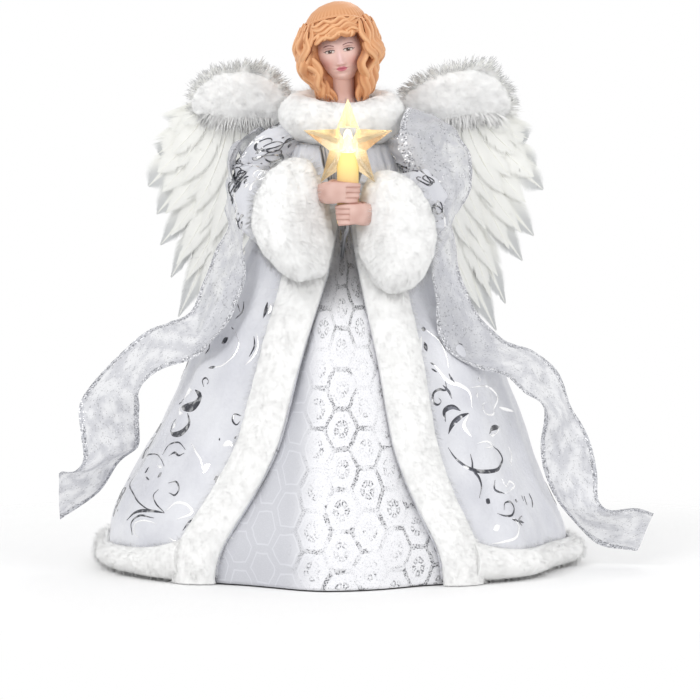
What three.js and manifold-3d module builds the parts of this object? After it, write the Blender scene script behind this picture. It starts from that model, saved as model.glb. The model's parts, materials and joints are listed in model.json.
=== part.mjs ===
// An angel tree topper: a robed doll on a hollow cone that slips over the tip of a tree.
// Millimetres, +Z up. The origin is the centre of the cone's mouth, on the plane the topper stands on.
// The doll faces -Y. Its own left side is +X.
import * as THREE from "three";
import { mergeVertices } from "three/addons/utils/BufferGeometryUtils.js";
import Module from "manifold-3d";

const wasm = await Module();
wasm.setup();

// Clearances between pieces
const seatGap = 0.35; // between two pieces that rest on each other
const slideGap = 0.3; // between the walls of a sliding pair
const overrun = 1.5; // how far a cutting shape runs past the face it cuts

// Tree cone: rolled card with a moulded ring at its mouth
const coneMouthRadius = 92;
const coneTipRadius = 15;
const coneHeight = 186;
const coneWall = 1.6;
const rimWidth = 4.5;
const rimThickness = 2.2;

// Robe, underskirt and the fur sewn along the robe's edges
const hemRadius = 117;
const robeRise = 30.5; // from the cone's tip up to the robe's top
const robeHeight = coneHeight + robeRise;
const robeHemLift = 3;
const clothThickness = 1.2;
const layerGap = 4.4; // from the robe's middle surface to the underskirt's
const foldDepth = 3.6;
const frontBulge = 14; // how far the underskirt swells out between the robe's edges
const waistLift = 8; // from the underskirt's gathered top up to the cone's tip
const trimWidth = 25;
const trimThickness = 7.5;
const hemBandHeight = 19;

// Torso, wrapped in a bodice
const waistHalfWidth = 17;
const waistHalfDepth = 13;
const chestHalfWidth = 22;
const chestHalfDepth = 15;
const shoulderHalfWidth = 25;
const shoulderHalfDepth = 12;
const torsoHeight = 44;
const spigotLength = 10;
const bodiceThickness = 1.2;
const bodiceHeight = 30;

// Bust casting: head, neck and shoulder plate
const headHeight = 31;
const headWidth = 25;
const headDepth = 28;
const headTiltDeg = 7;
const neckRadius = 6.6;
const neckLength = 24;
const plateHalfWidth = 15;
const plateHalfDepth = 10;
const plateThickness = 5;
const noseLength = 2.6;

// Moulded hair
const hairThickness = 7;
const hairLockRadius = 4.6;
const hairSpread = 21;
const hairLength = 44;

// Fur collar and cuffs
const collarHalfWidth = 20.5;
const collarHalfDepth = 13;
const collarTubeRadius = 10;
const collarTubeHeight = 12;
const cuffHalfWidth = 19;
const cuffHalfHeight = 33;
const cuffLength = 31;
const cuffFurThickness = 9;
const cuffOut = 26; // from the doll's middle to the middle of a cuff
const cuffForward = 57;
const cuffDrop = 34.5; // from the robe's top down to the middle of a cuff
const cuffHeight = robeHeight - cuffDrop;

// Sleeves, arm wires and hands
const shoulderOut = 23;
const shoulderDrop = 9; // from the top of the torso down to the arm's root
const elbowOut = 51;
const elbowDrop = 38;
const elbowForward = 11;
const upperSleeveRadius = 10.5;
const elbowSleeveRadius = 12;
const mouthHalfWidth = 8.5;
const mouthHalfHeight = 21;
const armWireRadius = 1;
const wristRadius = 4.2;
const wristLength = 17;
const fingerRadius = 1.45;
const palmHalfWidth = 4.6;
const palmHalfDepth = 6.4;

// Candle with its lamp and clear star
const candleSide = 3; // the candle stands a little to the doll's left
const candleForward = 58;
const candleRadius = 5.5;
const candleBore = 3.4;
const candleLength = 36;
const candleDrop = 37.5; // from the robe's top down to the candle's foot
const candleBottom = robeHeight - candleDrop;
const lampRadius = 2.5;
const lampLength = 12;
const lampFlange = 0.9;
const starRadius = 23.5;
const starWaistRadius = 9.8;
const starThickness = 12;
const starEdge = 1.8;
const starLift = 4; // the star's centre above the top of the candle

// Two-core lead from the battery case to the lamp
const leadRadius = 0.9;

// Battery case for two cells, its sliding lid and its switch
const cellRadius = 7.25;
const cellLength = 49.5;
const cellNubRadius = 2.75;
const cellNubLength = 1;
const caseWall = 1.5;
const caseFloorHeight = 52; // how high the case hangs inside the cone
const switchBayLength = 11;
const lidThickness = 1.6;
const lidGroove = 1;
const lidRibHeight = 0.8;
const contactThickness = 0.5;
const springWireRadius = 0.35;
const springRadius = 3.4;
const springLength = 4.6;
const padThickness = 2.5;
const knobWidth = 3.4;
const knobDepth = 2.6;
const knobHeight = 2.4;
const knobTravel = 3;

// Wing bracket on the back, and the two wings
const bracketWidth = 26;
const bracketHeight = 15;
const bracketPlate = 2;
const hingeSpacing = 18;
const hingeTubeRadius = 2.5;
const wingWireRadius = 1;
const hingeBoreGap = 0.35;
const bracketDrop = 17.5; // from the robe's top down to the bracket's foot
const bracketLift = robeHeight - bracketDrop;
const wingRootOut = 28; // from the hinge to the point the feathers fan from
const wingSweepDeg = 13;
const wingLeanDeg = 12;
const wingReach = 66; // from the fan point to the tip of the outermost feather
const wingDrop = 122; // from the fan point to the tip of the lowest feather
const wingFanHeight = 30; // from the bracket's foot up to the fan point
const wingBow = 7; // how far the lowest feather's tip bends back
const featherWidth = 17;
const featherThickness = 1.1;
const featherTiltShare = 0.14; // how far a vane's edge stands off, as a share of its half width
const backingThickness = 1.2;
const fluffRadius = 11;

// Sheer ribbon worn as a stole
const ribbonWidth = 38;
const ribbonThickness = 1;
const stoleStandOff = 5;
const stoleReach = 73; // from the robe's side out to a tail's end

// Counts of facets, folds and copies
const robeSteps = 40;
const robeRows = 7;
const skirtSteps = 39;
const skirtRows = 7;
const trimRows = 10;
const hemSteps = 29;
const headSteps = 20;
const headRows = 12;
const collarSteps = 22;
const collarRows = 8;
const sleeveSteps = 12;
const sleeveRows = 8;
const cuffSteps = 14;
const fluffSteps = 12;
const fluffRows = 7;
const stoleSteps = 50;
const stoleRows = 3;
const starCornerCount = 10;
const foldCounts = [7, 11];
const primaryCount = 11;
const secondaryCount = 8;
const fingerCount = 4;
const springTurns = 3;

const material = (colour, roughness, metalness = 0) =>
  new THREE.MeshStandardMaterial({ color: colour, roughness, metalness });
const finishes = {
  satin: material(0xdfe0e6, 0.42),
  brocade: material(0xe4e4ea, 0.5),
  fur: material(0xf3f2ef, 0.95),
  feather: material(0xf4f4ec, 0.8),
  felt: material(0xe9e9e4, 0.95),
  organza: material(0xd4d5da, 0.5),
  skin: material(0xd2a79b, 0.6),
  hair: material(0xdc9f68, 0.6),
  card: material(0xd8d2c4, 0.9),
  foam: material(0xeeeeea, 0.9),
  candle: material(0xf4e2ae, 0.55),
  acrylic: material(0xf6e6b4, 0.08),
  wire: material(0x9b9b9b, 0.4, 1),
  plastic: material(0xf0f0ee, 0.5),
  knob: material(0x222222, 0.5),
  cell: material(0x3a5f8c, 0.4, 0.4),
  contact: material(0xc8c8c4, 0.3, 1),
  lead: material(0xdedcd2, 0.5),
};

const topper = new THREE.Group();
const radians = THREE.MathUtils.degToRad;
const fullTurn = 2 * Math.PI;
const point = (x, y, z) => new THREE.Vector3(x, y, z);
const mix = THREE.MathUtils.lerp;
const smooth = (share) => share * share * (3 - 2 * share);
const clamp01 = (value) => Math.min(1, Math.max(0, value));
const bump = (distance, spread) => Math.exp(-((distance / spread) ** 2));

// A value read off a table of [place, value] rows, with smooth slopes between the rows.
function along(rows, place) {
  const last = rows.length - 1;
  if (place <= rows[0][0]) return rows[0][1];
  if (place >= rows[last][0]) return rows[last][1];
  const i = rows.findIndex((row) => row[0] > place) - 1;
  const slope = (k) => {
    const a = rows[Math.max(0, k - 1)];
    const b = rows[Math.min(last, k + 1)];
    return (b[1] - a[1]) / (b[0] - a[0]);
  };
  const [x0, y0] = rows[i];
  const [x1, y1] = rows[i + 1];
  const span = x1 - x0;
  const t = (place - x0) / span;
  const rise = y1 - y0;
  const bend = slope(i) * span - rise;
  const lift = -slope(i + 1) * span + rise;
  return mix(y0, y1, t) + t * (1 - t) * (bend * (1 - t) + lift * t);
}

// A closed geometry from points and triangles, turned so that its faces point out.
function closedGeometry(points, faces) {
  let volume = 0;
  for (const [a, b, c] of faces) volume += points[a].dot(points[b].clone().cross(points[c]));
  const index = faces.flatMap(([a, b, c]) => (volume < 0 ? [a, c, b] : [a, b, c]));
  const geometry = new THREE.BufferGeometry().setFromPoints(points);
  geometry.setIndex(index);
  return geometry;
}

// Two matching grids of points joined into one closed sheet of cloth, fur or card.
function slab(outer, inner, { ring = false } = {}) {
  const rows = outer.length;
  const columns = outer[0].length;
  const points = [...outer.flat(), ...inner.flat()];
  const at = (side, i, j) => side * rows * columns + (i % rows) * columns + j;
  const faces = [];
  const quad = (a, b, c, d) => faces.push([a, b, c], [a, c, d]);
  const lastRow = ring ? rows : rows - 1;
  for (let i = 0; i < lastRow; i++) {
    for (let j = 0; j < columns - 1; j++) {
      quad(at(0, i, j), at(0, i + 1, j), at(0, i + 1, j + 1), at(0, i, j + 1));
      quad(at(1, i, j), at(1, i, j + 1), at(1, i + 1, j + 1), at(1, i + 1, j));
    }
    quad(at(0, i, 0), at(1, i, 0), at(1, i + 1, 0), at(0, i + 1, 0));
    const j = columns - 1;
    quad(at(0, i, j), at(0, i + 1, j), at(1, i + 1, j), at(1, i, j));
  }
  if (!ring) {
    const i = rows - 1;
    for (let j = 0; j < columns - 1; j++) {
      quad(at(0, 0, j), at(0, 0, j + 1), at(1, 0, j + 1), at(1, 0, j));
      quad(at(0, i, j), at(1, i, j), at(1, i, j + 1), at(0, i, j + 1));
    }
  }
  return closedGeometry(points, faces);
}

// Closed loops of points skinned one after another. The ends are capped unless the row of loops is a ring.
function loft(loops, { ring = false } = {}) {
  const sides = loops[0].length;
  const points = loops.flat();
  const at = (i, j) => (i % loops.length) * sides + (j % sides);
  const faces = [];
  const lastLoop = ring ? loops.length : loops.length - 1;
  for (let i = 0; i < lastLoop; i++) {
    for (let j = 0; j < sides; j++) {
      faces.push([at(i, j), at(i, j + 1), at(i + 1, j + 1)], [at(i, j), at(i + 1, j + 1), at(i + 1, j)]);
    }
  }
  if (!ring) {
    for (const [i, turned] of [[0, true], [loops.length - 1, false]]) {
      const middle = loops[i].reduce((sum, p) => sum.add(p), point(0, 0, 0)).divideScalar(sides);
      const hub = points.push(middle) - 1;
      for (let j = 0; j < sides; j++) {
        faces.push(turned ? [hub, at(i, j + 1), at(i, j)] : [hub, at(i, j), at(i, j + 1)]);
      }
    }
  }
  return closedGeometry(points, faces);
}

// A tube of changing radius along a curve.
function tube(curve, radiusAt, sides, steps, squash = 1) {
  const frames = curve.computeFrenetFrames(steps, false);
  const loops = [];
  for (let i = 0; i <= steps; i++) {
    const centre = curve.getPointAt(i / steps);
    const radius = typeof radiusAt === "function" ? radiusAt(i / steps) : radiusAt;
    loops.push(
      Array.from({ length: sides }, (_, j) => {
        const turn = (j / sides) * fullTurn;
        return centre
          .clone()
          .addScaledVector(frames.normals[i], Math.cos(turn) * radius)
          .addScaledVector(frames.binormals[i], Math.sin(turn) * radius * squash);
      }),
    );
  }
  return loft(loops);
}

// A round rod of one radius along a curve.
function rod(curve, radius, sides, steps) {
  const section = new THREE.Shape(
    Array.from({ length: sides }, (_, j) => {
      const turn = (j / sides) * fullTurn;
      return new THREE.Vector2(radius * Math.cos(turn), radius * Math.sin(turn));
    }),
  );
  return new THREE.ExtrudeGeometry(section, { steps, extrudePath: curve, bevelEnabled: false });
}

const curveThrough = (points) => new THREE.CatmullRomCurve3(points, false, "centripetal");

// A box whose centre is at a point.
function box(width, depth, height, centre = point(0, 0, 0)) {
  return new THREE.BoxGeometry(width, depth, height).translate(centre.x, centre.y, centre.z);
}

// A cylinder standing along Z on the plane z = foot.
function post(radius, length, foot, sides = 24, topRadius = radius) {
  const shape = new THREE.CylinderGeometry(topRadius, radius, length, sides);
  return shape.rotateX(Math.PI / 2).translate(0, 0, foot + length / 2);
}

// A ball stretched to three half sizes.
function ball(halfX, halfY, halfZ, centre, around = 16, rows = 10) {
  const shape = new THREE.SphereGeometry(1, around, rows).rotateX(Math.PI / 2);
  return shape.scale(halfX, halfY, halfZ).translate(centre.x, centre.y, centre.z);
}

// A solid from a closed geometry. A mirrored one is turned right side out.
function solidOf(geometry) {
  const bare = new THREE.BufferGeometry();
  bare.setAttribute("position", geometry.getAttribute("position"));
  if (geometry.index) bare.setIndex(geometry.index);
  const merged = mergeVertices(bare);
  const places = merged.attributes.position;
  const corners = new Uint32Array(merged.index.array);
  const corner = (k) => new THREE.Vector3().fromBufferAttribute(places, corners[k]);
  let volume = 0;
  for (let k = 0; k < corners.length; k += 3) volume += corner(k).dot(corner(k + 1).cross(corner(k + 2)));
  if (volume < 0) {
    for (let k = 0; k < corners.length; k += 3) {
      [corners[k + 1], corners[k + 2]] = [corners[k + 2], corners[k + 1]];
    }
  }
  return new wasm.Manifold(
    new wasm.Mesh({ numProp: 3, vertProperties: places.array, triVerts: corners }),
  );
}

function geometryOf(solid) {
  const mesh = solid.getMesh();
  const geometry = new THREE.BufferGeometry();
  geometry.setAttribute("position", new THREE.BufferAttribute(mesh.vertProperties, mesh.numProp));
  geometry.setIndex(new THREE.BufferAttribute(mesh.triVerts, 1));
  geometry.computeVertexNormals();
  return geometry;
}

const joined = (...geometries) => geometries.map(solidOf).reduce((all, next) => all.add(next));

// The biggest body of a solid: cutting can leave loose crumbs beside it.
const largest = (solid) =>
  solid.decompose().reduce((best, next) => (next.volume() > best.volume() ? next : best));

// A solid swollen by a gap, so that what it cuts keeps that gap to it. Each corner is pushed until it
// stands off every face that meets there.
function swollen(solid, gap) {
  const mesh = solid.getMesh();
  const spot = (v) => new THREE.Vector3().fromArray(mesh.vertProperties, v * mesh.numProp);
  const normals = Array.from({ length: mesh.numVert }, () => []);
  for (let t = 0; t < mesh.triVerts.length; t += 3) {
    const [a, b, c] = mesh.triVerts.subarray(t, t + 3);
    const normal = spot(b).sub(spot(a)).cross(spot(c).sub(spot(a))).normalize();
    for (const v of [a, b, c]) normals[v].push(normal);
  }
  const moved = new Float32Array(mesh.numVert * 3);
  const sweeps = 30;
  const farthest = 4;
  normals.forEach((around, v) => {
    const push = point(0, 0, 0);
    for (let sweep = 0; sweep < sweeps; sweep++) {
      for (const normal of around) push.addScaledVector(normal, Math.max(0, gap - push.dot(normal)));
    }
    spot(v).add(push.clampLength(0, gap * farthest)).toArray(moved, v * 3);
  });
  return new wasm.Manifold(
    new wasm.Mesh({ numProp: 3, vertProperties: moved, triVerts: mesh.triVerts }),
  );
}

// A solid with room cut in it for its neighbours.
function clearOf(solid, neighbours, gap = seatGap) {
  const cut = neighbours.reduce((left, next) => left.subtract(swollen(next, gap)), solid);
  return largest(cut);
}

function place(name, solid, finish, group = topper) {
  const mesh = new THREE.Mesh(geometryOf(solid), finishes[finish]);
  mesh.name = name;
  group.add(mesh);
  return solid;
}

// The robe's middle surface. Turn 0 is the front, and a positive turn goes to the doll's left.
const robeRadiusShares = [
  [0, 1], [0.1, 0.99], [0.245, 0.86], [0.4, 0.735], [0.508, 0.66], [0.628, 0.545], [0.74, 0.44],
  [0.831, 0.345], [0.878, 0.3], [0.947, 0.25], [1, 0.215],
];
const robeDepthShares = [[0, 1], [0.5, 1], [0.72, 0.95], [0.86, 0.86], [1, 0.7]];
const foldGrowShares = [[0, 1], [0.35, 0.8], [0.7, 0.35], [1, 0.1]];

function foldAt(turn, heightShare) {
  const [wide, fine] = foldCounts;
  const wave = 0.62 * Math.cos(wide * turn + 0.9) + 0.38 * Math.cos(fine * turn + 2.1);
  return foldDepth * wave * along(foldGrowShares, heightShare);
}

function robePoint(turn, height, offset = 0) {
  const share = height / robeHeight;
  const radius = hemRadius * along(robeRadiusShares, share) + foldAt(turn, share) + offset;
  const depth = along(robeDepthShares, share);
  return point(radius * Math.sin(turn), -radius * Math.cos(turn) * depth, height);
}

// The half angle from the front to the middle of each front trim.
const openingDegShares = [
  [0, 38], [0.06, 36.5], [0.19, 32], [0.41, 28.5], [0.63, 25], [0.78, 21], [0.86, 24], [0.93, 40], [1, 58],
];
const openingTurn = radians(2);
const trimMiddle = (side, height) =>
  openingTurn + side * radians(along(openingDegShares, height / robeHeight));
const turnAcross = (width, height) => width / (hemRadius * along(robeRadiusShares, height / robeHeight));

function treeCone() {
  const inner = (height) => mix(coneMouthRadius, coneTipRadius, height / coneHeight) - coneWall;
  const profile = [
    [coneMouthRadius, 0],
    [coneTipRadius, coneHeight],
    [coneTipRadius - coneWall, coneHeight],
    [inner(rimThickness), rimThickness],
    [inner(0) - rimWidth, rimThickness],
    [inner(0) - rimWidth, 0],
    [coneMouthRadius, 0],
  ].map(([radius, height]) => new THREE.Vector2(radius, height));
  return solidOf(new THREE.LatheGeometry(profile, 36).rotateX(Math.PI / 2));
}

// The inside of the cone as a solid, for fitting what hangs on its wall.
function coneInside(gap) {
  const mouth = coneMouthRadius - coneWall - gap;
  const tip = coneTipRadius - coneWall - gap;
  return solidOf(post(mouth, coneHeight, 0, 48, tip));
}

const waistHeight = coneHeight - waistLift;
const waistOnCone = mix(coneMouthRadius, coneTipRadius, waistHeight / coneHeight);
const waistRadius = waistOnCone + seatGap * 1.7 + clothThickness / 2;

// The underskirt follows the robe's folds inside it and is gathered on to the cone near its tip.
function skirtPoint(turn, height, offset) {
  const hem = robePoint(turn, height, offset - layerGap);
  const front = bump(Math.atan2(Math.sin(turn), Math.cos(turn)), 0.36) * (1 - height / waistHeight);
  hem.addScaledVector(point(Math.sin(turn), -Math.cos(turn), 0), frontBulge * front);
  const gather = smooth(clamp01((height / waistHeight - 0.74) / 0.26));
  const reach = waistRadius + offset;
  return hem.lerp(point(reach * Math.sin(turn), -reach * Math.cos(turn), height), gather);
}

function underskirt() {
  const grid = (offset) =>
    Array.from({ length: skirtSteps }, (_, i) =>
      Array.from({ length: skirtRows + 1 }, (_, j) => {
        const height = mix(seatGap, waistHeight, j / skirtRows);
        return skirtPoint((i / skirtSteps) * fullTurn, height, offset);
      }),
    );
  return solidOf(slab(grid(clothThickness / 2), grid(-clothThickness / 2), { ring: true }));
}

function robe() {
  const grid = (offset) =>
    Array.from({ length: robeSteps + 1 }, (_, i) =>
      Array.from({ length: robeRows + 1 }, (_, j) => {
        const height = mix(robeHemLift, robeHeight, j / robeRows);
        const inset = turnAcross(trimWidth / 2, height) * 0.9;
        const from = trimMiddle(1, height) - inset;
        const to = fullTurn + trimMiddle(-1, height) + inset;
        return robePoint(mix(from, to, i / robeSteps), height, offset);
      }),
    );
  return solidOf(slab(grid(clothThickness / 2), grid(-clothThickness / 2)));
}

const domeShares = [0, 0.62, 1, 1, 0.62, 0];
const facetRoom = foldDepth * 0.16; // the most that a flat facet strays from the curved cloth
const trimFoot = clothThickness / 2 + seatGap + facetRoom;

function frontTrim(side) {
  const rows = trimRows;
  const top = robeHeight * 0.86;
  const grid = (domed) =>
    Array.from({ length: rows + 1 }, (_, i) => {
      const height = mix(0, top, i / rows);
      const reach = Math.max(height, robeHemLift);
      return domeShares.map((dome, j) => {
        const across = (j / (domeShares.length - 1) - 0.5) * turnAcross(trimWidth, reach);
        const lift = trimFoot + (domed ? trimThickness * mix(0.35, 1, dome) : 0);
        return robePoint(trimMiddle(side, reach) + across, height, lift);
      });
    });
  return solidOf(slab(grid(true), grid(false)));
}

function hemTrim() {
  const steps = hemSteps;
  const gapTurn = (seatGap * 2) / hemRadius;
  const end = (side) =>
    trimMiddle(side, robeHemLift) + side * (turnAcross(trimWidth / 2, robeHemLift) + gapTurn);
  const grid = (domed) =>
    Array.from({ length: steps + 1 }, (_, i) => {
      const turn = mix(end(1), fullTurn + end(-1), i / steps);
      return domeShares.map((dome, j) => {
        const height = hemBandHeight * (j / (domeShares.length - 1));
        const foot = j === 0 ? 0.6 : dome;
        const lift = trimFoot + (domed ? trimThickness * mix(0.35, 1.15, foot) : 0);
        return robePoint(turn, height, lift);
      });
    });
  return solidOf(slab(grid(true), grid(false)));
}

// Ellipses stacked along Z: rows of [height, half width, half depth].
function stacked(rows, sides = 18) {
  const loops = rows.map(([height, halfWidth, halfDepth]) =>
    Array.from({ length: sides }, (_, j) => {
      const turn = (j / sides) * fullTurn;
      return point(halfWidth * Math.sin(turn), -halfDepth * Math.cos(turn), height);
    }),
  );
  return loft(loops);
}

const torsoFoot = coneHeight + seatGap;
const torsoTop = torsoFoot + torsoHeight;
const bodiceReach = seatGap + bodiceThickness;

function torsoRows(grow) {
  return [
    [torsoFoot, waistHalfWidth + grow, waistHalfDepth + grow],
    [torsoFoot + torsoHeight * 0.3, waistHalfWidth + grow, waistHalfDepth + grow],
    [torsoFoot + torsoHeight * 0.62, chestHalfWidth + grow, chestHalfDepth + grow],
    [torsoFoot + torsoHeight * 0.84, shoulderHalfWidth + grow, shoulderHalfDepth + grow],
    [torsoTop, shoulderHalfWidth * 0.72 + grow, shoulderHalfDepth * 0.8 + grow],
  ];
}

function torso() {
  const spigotRadius = coneTipRadius - coneWall - seatGap;
  const spigotLean = (coneTipRadius * spigotLength) / coneHeight;
  const spigot = post(spigotRadius - spigotLean, spigotLength + overrun, torsoFoot - spigotLength, 18);
  return joined(stacked(torsoRows(0)), spigot);
}

function bodice() {
  const inner = solidOf(stacked(torsoRows(seatGap)));
  const outer = solidOf(stacked(torsoRows(bodiceReach)));
  const reach = 2 * (shoulderHalfWidth + chestHalfDepth);
  const band = solidOf(box(reach, reach, bodiceHeight, point(0, 0, torsoFoot + bodiceHeight / 2 + seatGap)));
  return outer.intersect(band).subtract(inner);
}

const plateFoot = torsoTop + seatGap;
const headMiddle = plateFoot + plateThickness + neckLength * 0.52 + headHeight / 2;
const headTilt = new THREE.Matrix4()
  .makeTranslation(0, 0, headMiddle)
  .multiply(new THREE.Matrix4().makeRotationY(radians(-headTiltDeg)))
  .multiply(new THREE.Matrix4().makeTranslation(0, 0, -headMiddle));

// The head's skin. Level runs from -1 at the chin to 1 at the crown.
function headPoint(turn, level, grow = 0) {
  const round = Math.sqrt(Math.max(0, 1 - level * level));
  const jaw = mix(0.74, 1, smooth(clamp01((level + 1) / 1.1)));
  const halfWidth = (headWidth / 2) * round * jaw + grow * round;
  const halfDepth = (headDepth / 2) * round * mix(0.86, 1, smooth(clamp01((level + 1) / 1.2))) + grow * round;
  const front = Math.atan2(Math.sin(turn), Math.cos(turn));
  const nose = noseLength * bump(front, 0.17) * bump(level + 0.2, 0.2);
  const chin = noseLength * 0.45 * bump(front, 0.35) * bump(level + 0.82, 0.16);
  const eyes = noseLength * 0.3 * bump(Math.abs(front) - 0.42, 0.2) * bump(level - 0.08, 0.14);
  const lips = noseLength * 0.28 * bump(front, 0.22) * bump(level + 0.52, 0.09);
  const forward = nose + chin + lips - eyes;
  return point(
    halfWidth * Math.sin(turn),
    -halfDepth * Math.cos(turn) - forward * Math.max(0, Math.cos(turn)),
    headMiddle + (headHeight / 2 + grow) * level,
  );
}

function head(grow = 0) {
  const loops = Array.from({ length: headRows }, (_, i) => {
    const level = -Math.cos(((i + 0.6) / (headRows + 0.2)) * Math.PI);
    return Array.from({ length: headSteps }, (_, j) => {
      const even = (j / headSteps) * fullTurn - Math.PI;
      return headPoint(even - 0.55 * Math.sin(even), level, grow);
    });
  });
  return loft(loops).applyMatrix4(headTilt);
}

function neckAndPlate() {
  return stacked([
    [plateFoot, plateHalfWidth, plateHalfDepth],
    [plateFoot + plateThickness * 0.5, plateHalfWidth * 0.86, plateHalfDepth * 0.9],
    [plateFoot + plateThickness, neckRadius * 1.3, neckRadius * 1.25],
    [plateFoot + plateThickness + neckLength * 0.35, neckRadius, neckRadius],
    [plateFoot + plateThickness + neckLength * 0.8, neckRadius, neckRadius],
  ]);
}

// Hair moulded as a cap and thick waved locks that fall to the collar.
// For each lock: its place round the head, its length and its thickness.
const hairLockShares = [
  [0.35, 0.94, 1.05], [0.51, 0.9, 1.25], [0.7, 0.94, 1.25], [0.9, 0.92, 1.25],
];

function hair(collarSolid) {
  const cap = ball(
    headWidth / 2 + hairThickness,
    headDepth / 2 + hairThickness * 0.75,
    headHeight / 2 + hairThickness,
    point(0, headDepth * 0.09, headMiddle + headHeight * 0.1),
    12,
    8,
  );
  const face = ball(
    headWidth * 0.45,
    headDepth * 0.62,
    headHeight * 0.64,
    point(0, -headDepth * 0.5, headMiddle - headHeight * 0.3),
    12,
    8,
  );
  const rootHeight = headMiddle + headHeight * 0.22;
  const locks = [];
  for (const side of [-1, 1]) {
    for (const [turnShare, lengthShare, swellShare] of hairLockShares) {
      const turn = side * turnShare * Math.PI;
      const points = [0, 0.25, 0.5, 0.75, 1].map((share, i) => {
        const swing = Math.sin(share * Math.PI * 0.62);
        const spread = mix(headWidth * 0.42, hairSpread, swing) * mix(1, 0.84, share);
        const wave = hairLockRadius * 0.42 * Math.sin(i * 2.4 + turnShare * 9);
        return point(
          (spread + wave) * Math.sin(turn),
          -(spread + wave) * Math.cos(turn) * 0.9 + headDepth * 0.08,
          rootHeight - hairLength * lengthShare * share,
        );
      });
      const thick = (share) =>
        hairLockRadius * swellShare * (0.72 + 0.38 * Math.sin(share * 8 + turnShare * 7)) * mix(1, 0.7, share);
      locks.push(tube(curveThrough(points), thick, 5, 5));
    }
  }
  const shaped = solidOf(cap).subtract(solidOf(face)).add(joined(...locks));
  const tilted = solidOf(geometryOf(shaped).applyMatrix4(headTilt));
  return clearOf(tilted, [solidOf(head()), solidOf(neckAndPlate()), collarSolid]);
}

function collar() {
  const height = torsoTop - collarTubeHeight * 0.1;
  const loops = Array.from({ length: collarSteps }, (_, i) => {
    const turn = (i / collarSteps) * fullTurn;
    const out = point(Math.sin(turn), -Math.cos(turn), 0);
    const centre = point(collarHalfWidth * Math.sin(turn), -collarHalfDepth * Math.cos(turn), height);
    return Array.from({ length: collarRows }, (_, j) => {
      const around = ((j + 0.5) / collarRows) * fullTurn;
      return centre
        .clone()
        .addScaledVector(out, collarTubeRadius * Math.cos(around))
        .add(point(0, 0, collarTubeHeight * Math.sin(around)));
    });
  });
  return solidOf(loft(loops, { ring: true }));
}

const mirrored = (p, side) => point(side * p.x, p.y, p.z);
const armRoot = point(shoulderOut, 0, torsoTop - shoulderDrop);
const elbow = point(elbowOut, -elbowForward, torsoTop - elbowDrop);
const wristHeight = candleBottom + fingerCount * fingerRadius * 2;
const cuffMiddle = point(cuffOut, -cuffForward, cuffHeight);
const cuffAheadShare = point(-0.72, -0.62, 0.04); // the way a cuff's mouth faces
const cuffRiseShare = point(-0.3, 0.38, 1); // the way its top leans
const mouthMiddle = cuffMiddle.clone().addScaledVector(cuffAheadShare, cuffLength * 0.1);
const sleeveCurve = curveThrough([
  armRoot,
  armRoot.clone().lerp(elbow, 0.42).add(point(upperSleeveRadius * 0.2, 0, upperSleeveRadius * 0.45)),
  elbow.clone().add(point(-elbowSleeveRadius * 0.1, elbowForward * 0.5, elbowSleeveRadius * 0.5)),
  elbow.clone().lerp(mouthMiddle, 0.3).add(point(elbowSleeveRadius * 0.35, -elbowForward * 0.2, 0)),
  elbow.clone().lerp(mouthMiddle, 0.66).add(point(elbowSleeveRadius * 0.3, -elbowForward * 0.2, 0)),
  mouthMiddle,
]);
const sleeveWideShares = [[0, 0.78], [0.22, 1], [0.5, 1.1], [0.75, 1.05], [1, 0.9]];

// A loop round the sleeve: it leans out at its foot to follow the skirt below it.
function sleeveLoop(share, side, grow, sides) {
  const centre = sleeveCurve.getPointAt(share);
  const ahead = sleeveCurve.getTangentAt(share);
  const lean = smooth(share);
  const up = point(cuffRiseShare.x * lean, cuffRiseShare.y * lean, 1).normalize();
  const across = new THREE.Vector3().crossVectors(ahead, up).normalize();
  const rise = new THREE.Vector3().crossVectors(across, ahead).normalize();
  const wide = mix(upperSleeveRadius * along(sleeveWideShares, share), mouthHalfWidth, smooth(share)) + grow;
  const tall = elbowSleeveRadius * along(sleeveWideShares, share);
  const high = mix(tall, mouthHalfHeight, smooth(share) ** 1.5) + grow;
  return Array.from({ length: sides }, (_, j) => {
    const turn = (j / sides) * fullTurn;
    const p = centre
      .clone()
      .addScaledVector(across, wide * Math.cos(turn))
      .addScaledVector(rise, high * Math.sin(turn));
    return mirrored(p, side);
  });
}

function sleeve(side) {
  const loops = (grow) =>
    Array.from({ length: sleeveSteps }, (_, j) =>
      Array.from({ length: sleeveRows + 1 }, (_, i) => {
        return sleeveLoop(i / sleeveRows, side, grow, sleeveSteps)[j];
      }),
    );
  return solidOf(slab(loops(0), loops(-clothThickness), { ring: true }));
}

function cuff(side) {
  const centre = mirrored(cuffMiddle, side);
  const ahead = mirrored(cuffAheadShare, side).normalize();
  const up = mirrored(cuffRiseShare, side).normalize();
  const across = new THREE.Vector3().crossVectors(ahead, up).normalize();
  const rise = new THREE.Vector3().crossVectors(across, ahead).normalize();
  const lengthShares = [-0.5, -0.4, -0.12, 0.16, 0.4, 0.5];
  const furShares = [0.3, 0.78, 1, 1, 0.72, 0.3];
  const grid = (domed) =>
    Array.from({ length: cuffSteps }, (_, j) => {
      const turn = (j / cuffSteps) * fullTurn;
      return lengthShares.map((share, i) => {
        const fur = domed ? cuffFurThickness * furShares[i] : 0;
        const wide = cuffHalfWidth - cuffFurThickness + fur;
        const high = cuffHalfHeight - cuffFurThickness + fur;
        return centre
          .clone()
          .addScaledVector(ahead, cuffLength * share)
          .addScaledVector(across, wide * Math.cos(turn))
          .addScaledVector(rise, high * Math.sin(turn));
      });
    });
  return solidOf(slab(grid(true), grid(false), { ring: true }));
}

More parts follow.
